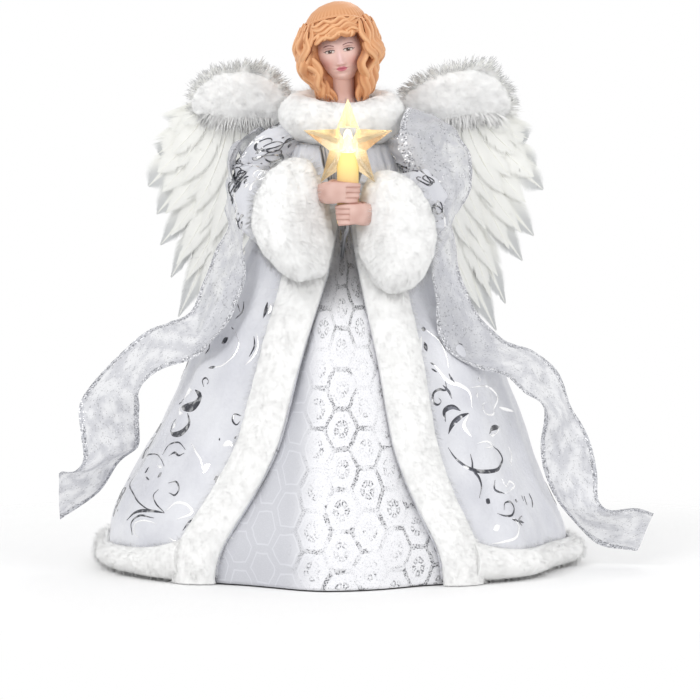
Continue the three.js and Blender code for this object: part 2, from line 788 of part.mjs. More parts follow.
// A hand closed round the candle: a palm, four curled fingers, a thumb and a wrist.
const fingerPitch = fingerRadius * 1.72;
const fingerReach = candleRadius + seatGap + fingerRadius * 1.12;
const candleAxis = point(candleSide, -candleForward, 0);
const handHeight = fingerPitch * (fingerCount - 1) + 2 * fingerRadius;

function handParts(side, foot) {
  const middle = foot + handHeight / 2;
  const palm = candleAxis
    .clone()
    .add(point(side * (fingerReach + palmHalfWidth * 0.5), palmHalfDepth * 0.12, middle));
  const wristEnd = palm.clone().add(point(side * wristLength * 0.86, wristLength * 0.5, wristHeight - middle));
  return { middle, palm, wristEnd };
}

function hand(side, foot) {
  const { middle, palm, wristEnd } = handParts(side, foot);
  const fingers = [];
  for (let i = 0; i < fingerCount; i++) {
    const height = foot + fingerRadius + fingerPitch * i;
    const shorten = i === 0 ? 0.35 : 0;
    const points = [0, 0.2, 0.4, 0.6, 0.8, 1].map((share) => {
      const turn = mix(-1.35, 1.75 - shorten, share);
      const out = point(-side * fingerReach * Math.sin(turn), -fingerReach * Math.cos(turn), height);
      return out.add(candleAxis);
    });
    const thick = (share) => fingerRadius * mix(1.06, 0.86, share);
    fingers.push(tube(curveThrough(points), thick, 4, 5));
  }
  const thumbTip = candleAxis
    .clone()
    .add(point(side * fingerReach * 0.2, fingerReach * 0.98, middle + fingerPitch * 0.4));
  const thumbRoot = palm.clone().add(point(0, palmHalfDepth * 0.5, 0));
  const thumbBend = thumbRoot.clone().lerp(thumbTip, 0.5).add(point(0, fingerRadius, 0));
  return joined(
    ball(palmHalfWidth, palmHalfDepth, handHeight * 0.5, palm, 8, 5),
    ...fingers,
    tube(curveThrough([thumbRoot, thumbBend, thumbTip]), fingerRadius * 1.1, 5, 4),
    tube(curveThrough([palm, palm.clone().lerp(wristEnd, 0.5), wristEnd]), wristRadius, 8, 2),
  );
}

// The room that a hand takes up, in plain shapes, for what has to keep clear of it.
function handRoom(side, foot) {
  const { palm, wristEnd } = handParts(side, foot);
  const grip = post(fingerReach + fingerRadius * 2.2, handHeight + seatGap, foot - seatGap / 2, 12);
  return joined(
    grip.translate(candleAxis.x, candleAxis.y, 0),
    ball(palmHalfWidth * 1.15, palmHalfDepth * 1.15, handHeight * 0.56, palm, 8, 6),
    tube(curveThrough([palm, palm.clone().lerp(wristEnd, 0.5), wristEnd]), wristRadius * 1.12, 8, 2),
  );
}

function candleTube() {
  const solid = solidOf(post(candleRadius, candleLength, candleBottom, 24));
  const bore = solidOf(post(candleBore, candleLength + 2 * overrun, candleBottom - overrun, 16));
  const moved = geometryOf(solid.subtract(bore)).translate(candleSide, -candleForward, 0);
  return solidOf(moved);
}

const candleTop = candleBottom + candleLength;

// The lamp: a flanged base that closes the candle's bore, and a round-topped bulb.
function lamp() {
  const stem = candleBore - seatGap;
  const profile = [
    [0, candleTop - lampLength * 0.45],
    [stem, candleTop - lampLength * 0.45],
    [stem, candleTop + seatGap],
    [candleBore + lampFlange, candleTop + seatGap],
    [candleBore + lampFlange, candleTop + seatGap + lampFlange],
    [lampRadius, candleTop + seatGap + lampFlange],
    [lampRadius, candleTop + lampLength * 0.62],
    [lampRadius * 0.8, candleTop + lampLength * 0.82],
    [lampRadius * 0.42, candleTop + lampLength * 0.96],
    [0, candleTop + lampLength],
  ].map(([radius, height]) => new THREE.Vector2(radius, height));
  const shape = new THREE.LatheGeometry(profile, 12).rotateX(Math.PI / 2);
  return solidOf(shape.translate(candleSide, -candleForward, 0));
}

// A five-pointed star with a raised middle on both faces. A notch at its foot straddles the candle's top
// and a bore above the notch takes the lamp.
function star() {
  const centre = point(candleSide, -candleForward, candleTop + starLift);
  const points = [];
  for (const face of [-1, 1]) {
    for (let i = 0; i < starCornerCount; i++) {
      const radius = i % 2 ? starWaistRadius : starRadius;
      const turn = (i / starCornerCount) * fullTurn;
      points.push(point(radius * Math.sin(turn), (face * starEdge) / 2, radius * Math.cos(turn)).add(centre));
    }
  }
  const apexes = [-1, 1].map((face) => points.push(point(0, (face * starThickness) / 2, 0).add(centre)) - 1);
  const faces = [];
  for (let i = 0; i < starCornerCount; i++) {
    const next = (i + 1) % starCornerCount;
    faces.push([apexes[0], i, next], [apexes[1], starCornerCount + next, starCornerCount + i]);
    faces.push([i, starCornerCount + i, starCornerCount + next], [i, starCornerCount + next, next]);
  }
  const notch = post(candleRadius + seatGap, candleLength + seatGap, candleBottom, 16);
  const bore = post(
    candleBore + lampFlange + seatGap,
    lampLength + 2 * seatGap + overrun,
    candleTop - overrun,
    12,
  );
  return solidOf(closedGeometry(points, faces))
    .subtract(solidOf(notch.translate(candleSide, -candleForward, 0)))
    .subtract(solidOf(bore.translate(candleSide, -candleForward, 0)));
}

// The battery case hangs on the back of the cone's inner wall, leaning with it.
const cellsWidth = 4 * cellRadius + seatGap;
const caseInnerWidth = cellsWidth + 2 * slideGap;
const caseWidth = caseInnerWidth + 2 * (caseWall + lidGroove);
const bayLength = cellLength + cellNubLength + springLength + 2 * contactThickness + 4 * seatGap;
const caseLength = bayLength + switchBayLength + 2 * caseWall;
const caseDepth = caseWall + 2 * cellRadius + 2 * slideGap + lidThickness + 2 * slideGap + caseWall;
const coneSlope = Math.atan2(coneMouthRadius - coneTipRadius, coneHeight);
const wallSag = (() => {
  const radius = mix(coneMouthRadius, coneTipRadius, (caseFloorHeight + caseLength) / coneHeight) - coneWall;
  return radius - Math.sqrt(Math.max(0, radius * radius - (caseWidth * caseWidth) / 4));
})();
const caseFoot = (() => {
  const radius = mix(coneMouthRadius, coneTipRadius, caseFloorHeight / coneHeight) - coneWall;
  return point(0, radius - (wallSag + seatGap + padThickness) / Math.cos(coneSlope), caseFloorHeight);
})();
// In the case's own frame x is its width, y runs up the cone's wall and z points to the cone's axis.
const caseFrame = new THREE.Matrix4().makeBasis(
  point(1, 0, 0),
  point(0, -Math.sin(coneSlope), Math.cos(coneSlope)),
  point(0, -Math.cos(coneSlope), -Math.sin(coneSlope)),
).setPosition(caseFoot);
const inCase = (geometry) => solidOf(geometry.applyMatrix4(caseFrame));
const lidFloor = caseWall + 2 * cellRadius + 2 * slideGap;
const slotWidth = knobWidth + knobTravel + 2 * slideGap;
const switchMiddle = caseWall + bayLength + caseWall / 2 + switchBayLength / 2;

function batteryCase() {
  const body = inCase(box(caseWidth, caseLength, caseDepth, point(0, caseLength / 2, caseDepth / 2)));
  const bayMiddle = point(0, caseWall + bayLength / 2, caseWall + caseDepth / 2);
  const bay = box(caseInnerWidth, bayLength, caseDepth, bayMiddle);
  const grooveLength = caseWall + bayLength + overrun;
  const groove = box(
    caseInnerWidth + 2 * lidGroove,
    grooveLength,
    lidThickness + 2 * slideGap,
    point(0, caseWall + bayLength - grooveLength / 2, lidFloor + slideGap + lidThickness / 2),
  );
  const mouth = box(
    caseInnerWidth,
    grooveLength,
    caseDepth,
    point(0, caseWall + bayLength - grooveLength / 2, lidFloor + caseDepth / 2),
  );
  const pocketDepth = caseDepth - 2 * caseWall;
  const pocket = box(
    caseInnerWidth,
    switchBayLength - caseWall / 2,
    pocketDepth,
    point(0, switchMiddle, caseWall + pocketDepth / 2),
  );
  const slot = box(slotWidth, knobDepth + 2 * slideGap, caseWall * 3, point(0, switchMiddle, caseDepth));
  const leadHole = post(leadRadius + seatGap, caseWall * 4, 0, 12)
    .rotateX(-Math.PI / 2)
    .translate(0, caseLength - 2 * caseWall, caseDepth / 2);
  return [bay, groove, mouth, pocket, slot, leadHole].reduce((left, cut) => left.subtract(inCase(cut)), body);
}

function batteryLid() {
  const length = caseWall + bayLength - slideGap;
  const width = caseInnerWidth + 2 * (lidGroove - slideGap);
  const plate = box(width, length, lidThickness, point(0, length / 2, lidFloor + slideGap + lidThickness / 2));
  const ribWidth = caseInnerWidth * 0.5;
  const lidTop = lidFloor + slideGap + lidThickness;
  const ribs = [0.12, 0.18, 0.24].map((share) =>
    box(ribWidth, lidRibHeight * 1.4, lidRibHeight * 2, point(0, length * share, lidTop)),
  );
  return [plate, ...ribs].map(inCase).reduce((all, next) => all.add(next));
}

function switchKnob() {
  const flange = box(
    knobWidth * 1.5,
    knobDepth * 1.5,
    caseWall * 0.6,
    point(-knobTravel / 2, switchMiddle, caseDepth - caseWall - slideGap - caseWall * 0.3),
  );
  const stemFoot = caseDepth - caseWall - slideGap - caseWall * 0.3;
  const stemLength = caseDepth + knobHeight * 0.5 - stemFoot;
  const stemMiddle = point(-knobTravel / 2, switchMiddle, stemFoot + stemLength / 2);
  const stem = box(knobWidth, knobDepth, stemLength, stemMiddle);
  return inCase(flange).add(inCase(stem));
}

const cellFootY = caseWall + contactThickness + 2 * seatGap;
const cellHeight = caseWall + slideGap + cellRadius;
const cellSide = cellRadius + seatGap / 2;

// A cell points up on one side of the case and down on the other.
function cell(side) {
  const profile = [
    [0, 0], [cellRadius * 0.72, 0], [cellRadius, cellRadius * 0.08], [cellRadius, cellLength],
    [cellNubRadius, cellLength], [cellNubRadius, cellLength + cellNubLength], [0, cellLength + cellNubLength],
  ].map(([radius, height]) => new THREE.Vector2(radius, height));
  const shape = new THREE.LatheGeometry(profile, 16);
  if (side > 0) return inCase(shape.translate(cellSide, cellFootY + springLength, cellHeight));
  const top = caseWall + bayLength - contactThickness - 2 * seatGap - springLength;
  return inCase(shape.rotateX(Math.PI).translate(-cellSide, top, cellHeight));
}

// The coil that presses on a cell's flat end, as one unbroken wire.
function contactSpring(side) {
  const fromFoot = side > 0;
  const foot = fromFoot
    ? caseWall + contactThickness + 1.5 * seatGap
    : caseWall + bayLength - contactThickness - 1.5 * seatGap;
  const reach = springLength - 2 * springWireRadius;
  const steps = springTurns * 6;
  const points = Array.from({ length: steps + 1 }, (_, i) => {
    const share = i / steps;
    const radius = springRadius * mix(1, 0.62, share);
    const turn = share * springTurns * fullTurn;
    const rise = springWireRadius + reach * share;
    return point(
      side * cellSide + radius * Math.cos(turn),
      foot + (fromFoot ? rise : -rise),
      cellHeight + radius * Math.sin(turn),
    );
  });
  let least = Infinity;
  points.forEach((p, i) => points.slice(i + 6).forEach((q) => (least = Math.min(least, p.distanceTo(q)))));
  console.log("contact spring, least gap to itself in mm: " + (least - 2 * springWireRadius).toFixed(2));
  return inCase(tube(curveThrough(points), springWireRadius, 5, steps));
}

// Contact plates: one joins both cells at the foot, and two stand apart at the switch end.
function contactPlate(side) {
  const high = cellRadius * 1.5;
  const width = side === 0 ? cellsWidth * 0.86 : cellRadius * 1.5;
  const y = side === 0
    ? caseWall + seatGap + contactThickness / 2
    : caseWall + bayLength - seatGap - contactThickness / 2;
  return inCase(box(width, contactThickness, high, point(side * cellSide, y, cellHeight)));
}

// A foam pad between the flat back of the case and the round wall of the cone.
function mountingPad() {
  const depth = padThickness + wallSag;
  const thick = depth * 3;
  const length = caseLength * 0.7;
  const block = inCase(box(caseWidth * 0.7, length, thick, point(0, caseLength * 0.5, -seatGap - thick / 2)));
  return largest(block.intersect(coneInside(seatGap)));
}

const leadStart = point(0, caseLength + leadRadius + seatGap, caseDepth / 2).applyMatrix4(caseFrame);

function lampLead() {
  const wallAt = (height) => mix(coneMouthRadius, coneTipRadius, height / coneHeight) - coneWall;
  const riseTop = coneHeight * 0.86;
  const bendHeight = mix(leadStart.z, riseTop, 0.45);
  const bottom = candleBottom - candleRadius * 1.2;
  return rod(
    curveThrough([
      leadStart,
      point(0, wallAt(bendHeight) * 0.8, bendHeight),
      point(0, wallAt(riseTop) * 0.35, riseTop),
      point(0, -wallAt(riseTop) * 0.6, riseTop),
      point(0, -coneTipRadius * 2.2, riseTop + leadRadius),
      point(candleSide * 0.5, -candleForward * 0.82, bottom - leadRadius),
      point(candleSide, -candleForward, bottom + candleRadius),
      point(candleSide, -candleForward, candleBottom + candleLength * 0.3),
      point(candleSide, -candleForward, candleTop - lampLength * 0.45 - seatGap),
    ]),
    leadRadius,
    6,
    28,
  );
}

// The bracket on the robe's back: a plate with two upright tubes that the wing wires turn in.
const bracketBack = robePoint(Math.PI, bracketLift, clothThickness / 2).y + seatGap + foldDepth * 0.2;
const hingeY = bracketBack + bracketPlate + hingeTubeRadius * 0.8;
const hingeBore = wingWireRadius + hingeBoreGap;

function wingBracket() {
  const plate = box(
    bracketWidth,
    bracketPlate,
    bracketHeight,
    point(0, bracketBack + bracketPlate / 2, bracketLift + bracketHeight / 2),
  );
  let solid = solidOf(plate);
  for (const side of [-1, 1]) {
    const tubeShape = post(hingeTubeRadius, bracketHeight, bracketLift, 12);
    solid = solid.add(solidOf(tubeShape.translate((side * hingeSpacing) / 2, hingeY, 0)));
  }
  for (const side of [-1, 1]) {
    const bore = post(hingeBore, bracketHeight + 2 * overrun, bracketLift - overrun, 10);
    solid = solid.subtract(solidOf(bore.translate((side * hingeSpacing) / 2, hingeY, 0)));
  }
  return solid;
}

// Each wing is drawn flat: x away from the fan point, z up, y from its front to its back.
const wingFan = point(hingeSpacing / 2 + wingRootOut, hingeY, bracketLift + wingFanHeight);
const backingLayer = -(wingWireRadius + seatGap + backingThickness / 2);
const vaneRoom = featherWidth * featherTiltShare + featherThickness;
const primaryLayer = backingLayer - backingThickness / 2 - seatGap - vaneRoom / 2;
const rowStandShare = 0.65; // tilted vanes nest, so a row stands off by less than its full room
const secondaryLayer = primaryLayer - vaneRoom * rowStandShare - seatGap;
const fluffLayer = secondaryLayer - vaneRoom / 2 - seatGap;

function onWing() {
  const turn = new THREE.Matrix4().makeRotationZ(radians(wingSweepDeg));
  const lean = new THREE.Matrix4().makeRotationX(radians(wingLeanDeg));
  const back = hingeY + Math.tan(radians(wingSweepDeg)) * wingRootOut + wingWireRadius;
  const shift = new THREE.Matrix4().makeTranslation(wingFan.x, back, wingFan.z);
  return shift.multiply(turn).multiply(lean);
}

// Every piece of a wing bends back alike, more the further it lies from the fan point.
const bend = (p) => p.setY(p.y + (wingBow * (p.x * p.x + p.z * p.z)) / (wingDrop * wingDrop));

function bent(geometry) {
  const places = geometry.getAttribute("position");
  for (let i = 0; i < places.count; i++) {
    const p = bend(new THREE.Vector3().fromBufferAttribute(places, i));
    places.setXYZ(i, p.x, p.y, p.z);
  }
  return geometry;
}

// A feather from its root to its tip: a slim quill that widens into a flat vane.
const vaneShares = [[0, 0.2], [0.16, 0.4], [0.46, 0.96], [0.86, 0.88], [1, 0.2]];

function feather(root, tip, width, layer) {
  const length = root.distanceTo(tip);
  const ahead = tip.clone().sub(root).normalize();
  const across = point(-ahead.z, 0, ahead.x);
  const loops = vaneShares.map(([share, wide]) => {
    const centre = root.clone().lerp(tip, share).setY(layer);
    centre.addScaledVector(across, -length * 0.05 * Math.sin(share * Math.PI));
    const half = (width / 2) * wide;
    const thick = (featherThickness / 2) * mix(1, 0.75, share);
    return [
      centre.clone().addScaledVector(across, half).add(point(0, half * featherTiltShare, 0)),
      centre.clone().add(point(0, -thick, 0)),
      centre.clone().addScaledVector(across, -half).add(point(0, -half * featherTiltShare, 0)),
      centre.clone().add(point(0, thick, 0)),
    ];
  });
  return bent(loft(loops));
}

// Where a feather's tip lies: share 0 is the outermost feather and share 1 the innermost.
const tipOutShares = [[0, 0.86], [0.12, 1], [0.3, 0.97], [0.5, 0.86], [0.7, 0.72], [0.85, 0.5], [1, 0.22]];
const tipDownShares = [[0, 0.14], [0.12, 0.3], [0.3, 0.52], [0.5, 0.76], [0.7, 0.95], [0.85, 1], [1, 0.9]];
const secondaryReachShare = 0.7;
const bindingShares = [-0.06, 1.06]; // how far a row's binding runs past its first and last feather
const rowRoot = (share, reach) =>
  point(wingReach * mix(0.34, -0.1, share) * reach, 0, wingDrop * mix(0.05, -0.1, share) * reach);

function featherRow(count, reach, layer) {
  const feathers = Array.from({ length: count }, (_, i) => {
    const share = i / (count - 1);
    const tip = point(
      wingReach * along(tipOutShares, share) * reach,
      0,
      -wingDrop * along(tipDownShares, share) * reach,
    );
    return feather(rowRoot(share, reach), tip, featherWidth, layer);
  });
  const ends = bindingShares.map((share) => rowRoot(share, reach).setY(layer));
  const binding = bent(tube(new THREE.LineCurve3(...ends), featherThickness * 1.3, 6, 6));
  return joined(binding, ...feathers);
}

function wingWire(side) {
  const foot = point(hingeSpacing / 2, hingeY, bracketLift - seatGap);
  const top = bracketLift + bracketHeight + wingWireRadius;
  const onPlane = (xShare, zShare) =>
    bend(point(xShare * wingReach, 0, zShare * wingDrop)).applyMatrix4(onWing());
  const curve = curveThrough([
    foot,
    point(foot.x, foot.y, bracketLift + bracketHeight * 0.5),
    point(foot.x, foot.y, bracketLift + bracketHeight * 0.85),
    point(foot.x, foot.y, top),
    point(foot.x + wingWireRadius * 2, foot.y + wingWireRadius, top + wingWireRadius * 3),
    onPlane(-0.2, 0.03),
    onPlane(0.1, 0.06),
    onPlane(0.4, 0.02),
    onPlane(0.52, -0.1),
  ]);
  return solidOf(rod(curve, wingWireRadius, 6, 20).scale(side, 1, 1));
}

// A felt backing that the feathers are glued to, in front of the wire.
const backingShares = [
  [-0.16, 0], [0.1, 0.07], [0.42, 0.04], [0.6, -0.06], [0.66, -0.2], [0.6, -0.4], [0.45, -0.56],
  [0.24, -0.62], [0.06, -0.52], [-0.06, -0.3],
];

function wingBacking() {
  const corners = backingShares.map(([x, z]) => new THREE.Vector2(x * wingReach, z * wingDrop));
  const outline = new THREE.Shape(new THREE.SplineCurve([...corners, corners[0]]).getPoints(26).slice(0, -1));
  const flat = new THREE.ExtrudeGeometry(outline, { depth: backingThickness, bevelEnabled: false });
  return bent(flat.rotateX(Math.PI / 2).translate(0, backingLayer + backingThickness / 2, 0));
}

// Down along the top of the wing, thick at the crest and thin at both ends, with a flat back.
const fluffPathShares = [[-0.2, 0.02], [0.02, 0.09], [0.28, 0.12], [0.5, 0.08], [0.62, -0.01], [0.66, -0.1]];
const fluffSwellShares = [[0, 0.5], [0.2, 0.95], [0.45, 1], [0.7, 0.86], [0.9, 0.7], [1, 0.45]];

function wingFluff() {
  const path = curveThrough(fluffPathShares.map(([x, z]) => point(x * wingReach, 0, z * wingDrop)));
  const loops = Array.from({ length: fluffSteps + 1 }, (_, i) => {
    const share = i / fluffSteps;
    const centre = path.getPointAt(share);
    const ahead = path.getTangentAt(share);
    const across = point(-ahead.z, 0, ahead.x);
    const radius = fluffRadius * along(fluffSwellShares, share) * (i % 2 ? 1.06 : 0.94);
    return Array.from({ length: fluffRows }, (_, j) => {
      const around = (j / (fluffRows - 1)) * Math.PI;
      return centre
        .clone()
        .addScaledVector(across, radius * Math.cos(around))
        .setY(fluffLayer - radius * 0.85 * Math.sin(around));
    });
  });
  return bent(loft(loops));
}

function wing(side, name) {
  const matrix = onWing();
  const flip = new THREE.Matrix4().makeScale(side, 1, 1);
  const onSide = (solid) => solidOf(geometryOf(solid).applyMatrix4(matrix).applyMatrix4(flip));
  place(name + "_wire", wingWire(side), "wire");
  place(name + "_backing", onSide(solidOf(wingBacking())), "felt");
  const primaries = featherRow(primaryCount, 1, primaryLayer);
  const secondaries = featherRow(secondaryCount, secondaryReachShare, secondaryLayer);
  place(name + "_primary_feathers", onSide(primaries), "feather");
  place(name + "_secondary_feathers", onSide(clearOf(secondaries, [primaries])), "feather");
  place(name + "_down_trim", onSide(solidOf(wingFluff())), "fur");
}

// The stole's middle line, from its middle at the back to the end of one tail, with the way its width lies.
function stoleHalf() {
  const side = (turnDeg, height, off) => robePoint(radians(turnDeg), height, stoleStandOff + off);
  const elbowSide = elbow.clone().add(point(elbowSleeveRadius * 1.25, elbowForward * 0.9, 0));
  const beside = (...shares) => elbowSide.clone().addScaledVector(point(...shares), elbowSleeveRadius);
  const drape = [
    [side(180, waistHeight * 0.94, 0), point(0, -0.25, 1)],
    [side(150, waistHeight * 0.96, 0), point(0, -0.25, 1)],
    [beside(-1.1, 1.3, 0), point(-0.1, -0.15, 1)],
    [beside(0.1, 0.4, 0.4), point(-0.3, 0.05, 1)],
    [beside(-0.1, -1, -1.2), point(-0.5, -0.55, 0.55)],
    [side(64, waistHeight * 0.82, stoleStandOff * 0.5), point(-0.62, -0.72, 0.25)],
    [side(68, waistHeight * 0.7, stoleStandOff * 0.4), point(-0.62, -0.72, -0.1)],
  ];
  const root = side(76, waistHeight * 0.62, stoleStandOff);
  const free = tailShares.map(([out, forward, down, across]) => [
    root.clone().add(point(out * stoleReach, -forward * stoleReach, -down * stoleReach)),
    point(...across),
  ]);
  return [...drape, [root, point(-0.5, -0.72, -0.55)], ...free];
}
// For each point of a free tail: out, forward and down as shares of its reach, then the way its width lies.
const tailShares = [
  [0.24, -0.02, 0.07, [-0.2, -0.5, -0.9]],
  [0.5, 0, 0.2, [-0.55, -0.4, -0.72]],
  [0.6, 0.05, 0.48, [-0.95, -0.28, -0.12]],
  [0.57, 0.1, 0.76, [-0.92, -0.3, 0.2]],
  [0.72, 0.06, 0.94, [-0.55, -0.35, 0.76]],
  [1, 0.02, 1, [-0.1, -0.3, 0.95]],
];

function stole() {
  const half = stoleHalf();
  const whole = [
    ...half.slice(1).reverse().map(([p, w]) => [mirrored(p, -1), mirrored(w, -1)]),
    ...half,
  ];
  const line = curveThrough(whole.map(([p]) => p));
  const spans = whole.length - 1;
  const middle = [];
  const widths = [];
  for (let i = 0; i <= stoleSteps; i++) {
    const share = i / stoleSteps;
    middle.push(line.getPoint(share));
    const at = share * spans;
    const k = Math.min(spans - 1, Math.floor(at));
    widths.push(whole[k][1].clone().lerp(whole[k + 1][1], smooth(at - k)));
  }
  const outer = [];
  const inner = [];
  middle.forEach((centre, i) => {
    const ahead = middle[Math.min(stoleSteps, i + 1)].clone().sub(middle[Math.max(0, i - 1)]).normalize();
    const across = widths[i].clone().addScaledVector(ahead, -widths[i].dot(ahead)).normalize();
    const normal = new THREE.Vector3().crossVectors(ahead, across).normalize();
    const rowAt = (lift) =>
      Array.from({ length: stoleRows }, (_, j) => {
        const lane = ribbonWidth * (j / (stoleRows - 1) - 0.5);
        return centre.clone().addScaledVector(across, lane).addScaledVector(normal, lift);
      });
    outer.push(rowAt(ribbonThickness / 2));
    inner.push(rowAt(-ribbonThickness / 2));
  });
  return solidOf(slab(outer, inner));
}

// Assembly, from the hard pieces out to the soft ones that lie on them
const lead = solidOf(lampLead());
const coneSolid = place("tree_cone", clearOf(treeCone(), [lead]), "card");
const torsoSolid = place("torso_core", torso(), "foam");
const bodiceSolid = place("bodice", bodice(), "brocade");
place("bust_casting", joined(head(), neckAndPlate()), "skin");

place("battery_case", batteryCase(), "plastic");
place("battery_lid", batteryLid(), "plastic");
place("switch_knob", switchKnob(), "knob");
place("battery_cell_left", cell(1), "cell");
place("battery_cell_right", cell(-1), "cell");
place("contact_spring_left", contactSpring(1), "contact");
place("contact_spring_right", contactSpring(-1), "contact");
place("contact_link_plate", contactPlate(0), "contact");
place("contact_plate_left", contactPlate(1), "contact");
place("contact_plate_right", contactPlate(-1), "contact");
place("mounting_pad", mountingPad(), "foam");
place("lamp_lead", lead, "lead");

const candleSolid = place("candle_tube", candleTube(), "candle");
place("lamp", lamp(), "candle");
const starSolid = place("star", star(), "acrylic");
const handFeet = [candleBottom, candleBottom + handHeight + 2 * seatGap];
place("left_hand", clearOf(hand(1, handFeet[0]), [candleSolid]), "skin");
place("right_hand", clearOf(hand(-1, handFeet[1]), [candleSolid]), "skin");
const grip = [handRoom(1, handFeet[0]), handRoom(-1, handFeet[1]), candleSolid, lead];

const bracketSolid = place("wing_bracket", wingBracket(), "plastic");
const bodySolids = [torsoSolid, bodiceSolid, bracketSolid];
const armWires = [];
for (const [side, name, foot] of [[1, "left", handFeet[0]], [-1, "right", handFeet[1]]]) {
  const { wristEnd } = handParts(side, foot);
  const root = mirrored(armRoot, side);
  const curve = curveThrough([
    root.clone().add(point(side * (shoulderHalfWidth - shoulderOut + bodiceReach + armWireRadius), 0, 0)),
    mirrored(sleeveCurve.getPointAt(0.3), side),
    mirrored(sleeveCurve.getPointAt(0.52), side),
    wristEnd.clone().lerp(mirrored(elbow, side), 0.35),
    wristEnd.clone().lerp(mirrored(elbow, side), (armWireRadius + seatGap) / wristLength),
  ]);
  armWires.push(place(name + "_arm_wire", clearOf(solidOf(rod(curve, armWireRadius, 6, 14)), grip), "wire"));
}
const underskirtSolid = place("underskirt", clearOf(underskirt(), [coneSolid, torsoSolid, lead]), "brocade");
const underRobe = [...bodySolids, underskirtSolid, ...armWires, lead];
const robeSolid = place("robe", clearOf(robe(), underRobe), "satin");
const trims = [];
for (const [name, solid] of [
  ["left_front_trim", frontTrim(1)],
  ["right_front_trim", frontTrim(-1)],
  ["hem_trim", hemTrim()],
]) {
  trims.push(place(name, clearOf(solid, [robeSolid, underskirtSolid, lead, ...trims]), "fur"));
}
const collarSolid = place(
  "fur_collar",
  clearOf(collar(), [solidOf(neckAndPlate()), ...bodySolids, robeSolid, ...armWires]),
  "fur",
);
place("hair_casting", hair(collarSolid), "hair");
const sleeves = [];
for (const [side, name] of [[1, "left"], [-1, "right"]]) {
  const near = [...bodySolids, robeSolid, ...trims, ...armWires, ...grip, collarSolid];
  sleeves.push(place(name + "_sleeve", clearOf(sleeve(side), near), "satin"));
}
for (const [side, name] of [[1, "left"], [-1, "right"]]) {
  const clothes = [robeSolid, underskirtSolid, bodiceSolid, ...trims, ...sleeves];
  const near = [...clothes, ...armWires, ...grip, starSolid];
  place(name + "_cuff", clearOf(cuff(side), near), "fur");
}
place("ribbon_stole", clearOf(stole(), [robeSolid, bracketSolid, ...sleeves, ...trims]), "organza");
wing(1, "left_wing");
wing(-1, "right_wing");

export default topper;
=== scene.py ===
import bmesh
import bpy
import json
import math
import numpy as np
from mathutils import Matrix, Vector, noise


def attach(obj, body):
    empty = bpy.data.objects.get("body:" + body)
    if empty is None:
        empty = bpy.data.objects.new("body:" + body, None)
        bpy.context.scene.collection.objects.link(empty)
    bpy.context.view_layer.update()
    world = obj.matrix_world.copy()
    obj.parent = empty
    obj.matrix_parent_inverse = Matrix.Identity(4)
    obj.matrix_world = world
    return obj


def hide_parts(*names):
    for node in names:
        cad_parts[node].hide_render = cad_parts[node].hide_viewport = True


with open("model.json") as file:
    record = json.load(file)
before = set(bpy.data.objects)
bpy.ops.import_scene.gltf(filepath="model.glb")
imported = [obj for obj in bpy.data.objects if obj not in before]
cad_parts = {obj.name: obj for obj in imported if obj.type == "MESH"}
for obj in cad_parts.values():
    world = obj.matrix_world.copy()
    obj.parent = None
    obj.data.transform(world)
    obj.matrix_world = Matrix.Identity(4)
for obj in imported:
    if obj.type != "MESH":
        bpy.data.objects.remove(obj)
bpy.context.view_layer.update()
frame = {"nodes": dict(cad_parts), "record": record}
nodes = frame["nodes"]
scene = bpy.context.scene
mm = 0.001  # lengths below are millimetres until a mesh is made
fullTurn = 2 * math.pi
print("stage: frame loaded")


def addObject(name, data):
    added = bpy.data.objects.new(name, data)
    scene.collection.objects.link(added)
    return added


# the camera stands where the photograph was taken from
view = {"aim": (4.1, 0.0, 110.0), "distance": 3500.0, "elevation": 4.7, "frameWidth": 361.0}


def makeCamera():
    aim = Vector(view["aim"]) * mm
    tilt = math.radians(view["elevation"])
    camera = addObject("camera", bpy.data.cameras.new("camera"))
    camera.location = aim + Vector((0, -math.cos(tilt), math.sin(tilt))) * view["distance"] * mm
    camera.rotation_euler = (math.pi / 2 - tilt, 0, 0)
    camera.data.lens = camera.data.sensor_width * view["distance"] / view["frameWidth"]
    camera.data.clip_start = 0.05
    scene.camera = camera


makeCamera()


# small tools shared by every piece

def tone(code):  # "d9dae4" as shown on a screen, turned into the render's own numbers
    parts = [int(code[i:i + 2], 16) / 255 for i in (0, 2, 4)]
    return tuple(p / 12.92 if p <= 0.04045 else ((p + 0.055) / 1.055) ** 2.4 for p in parts)


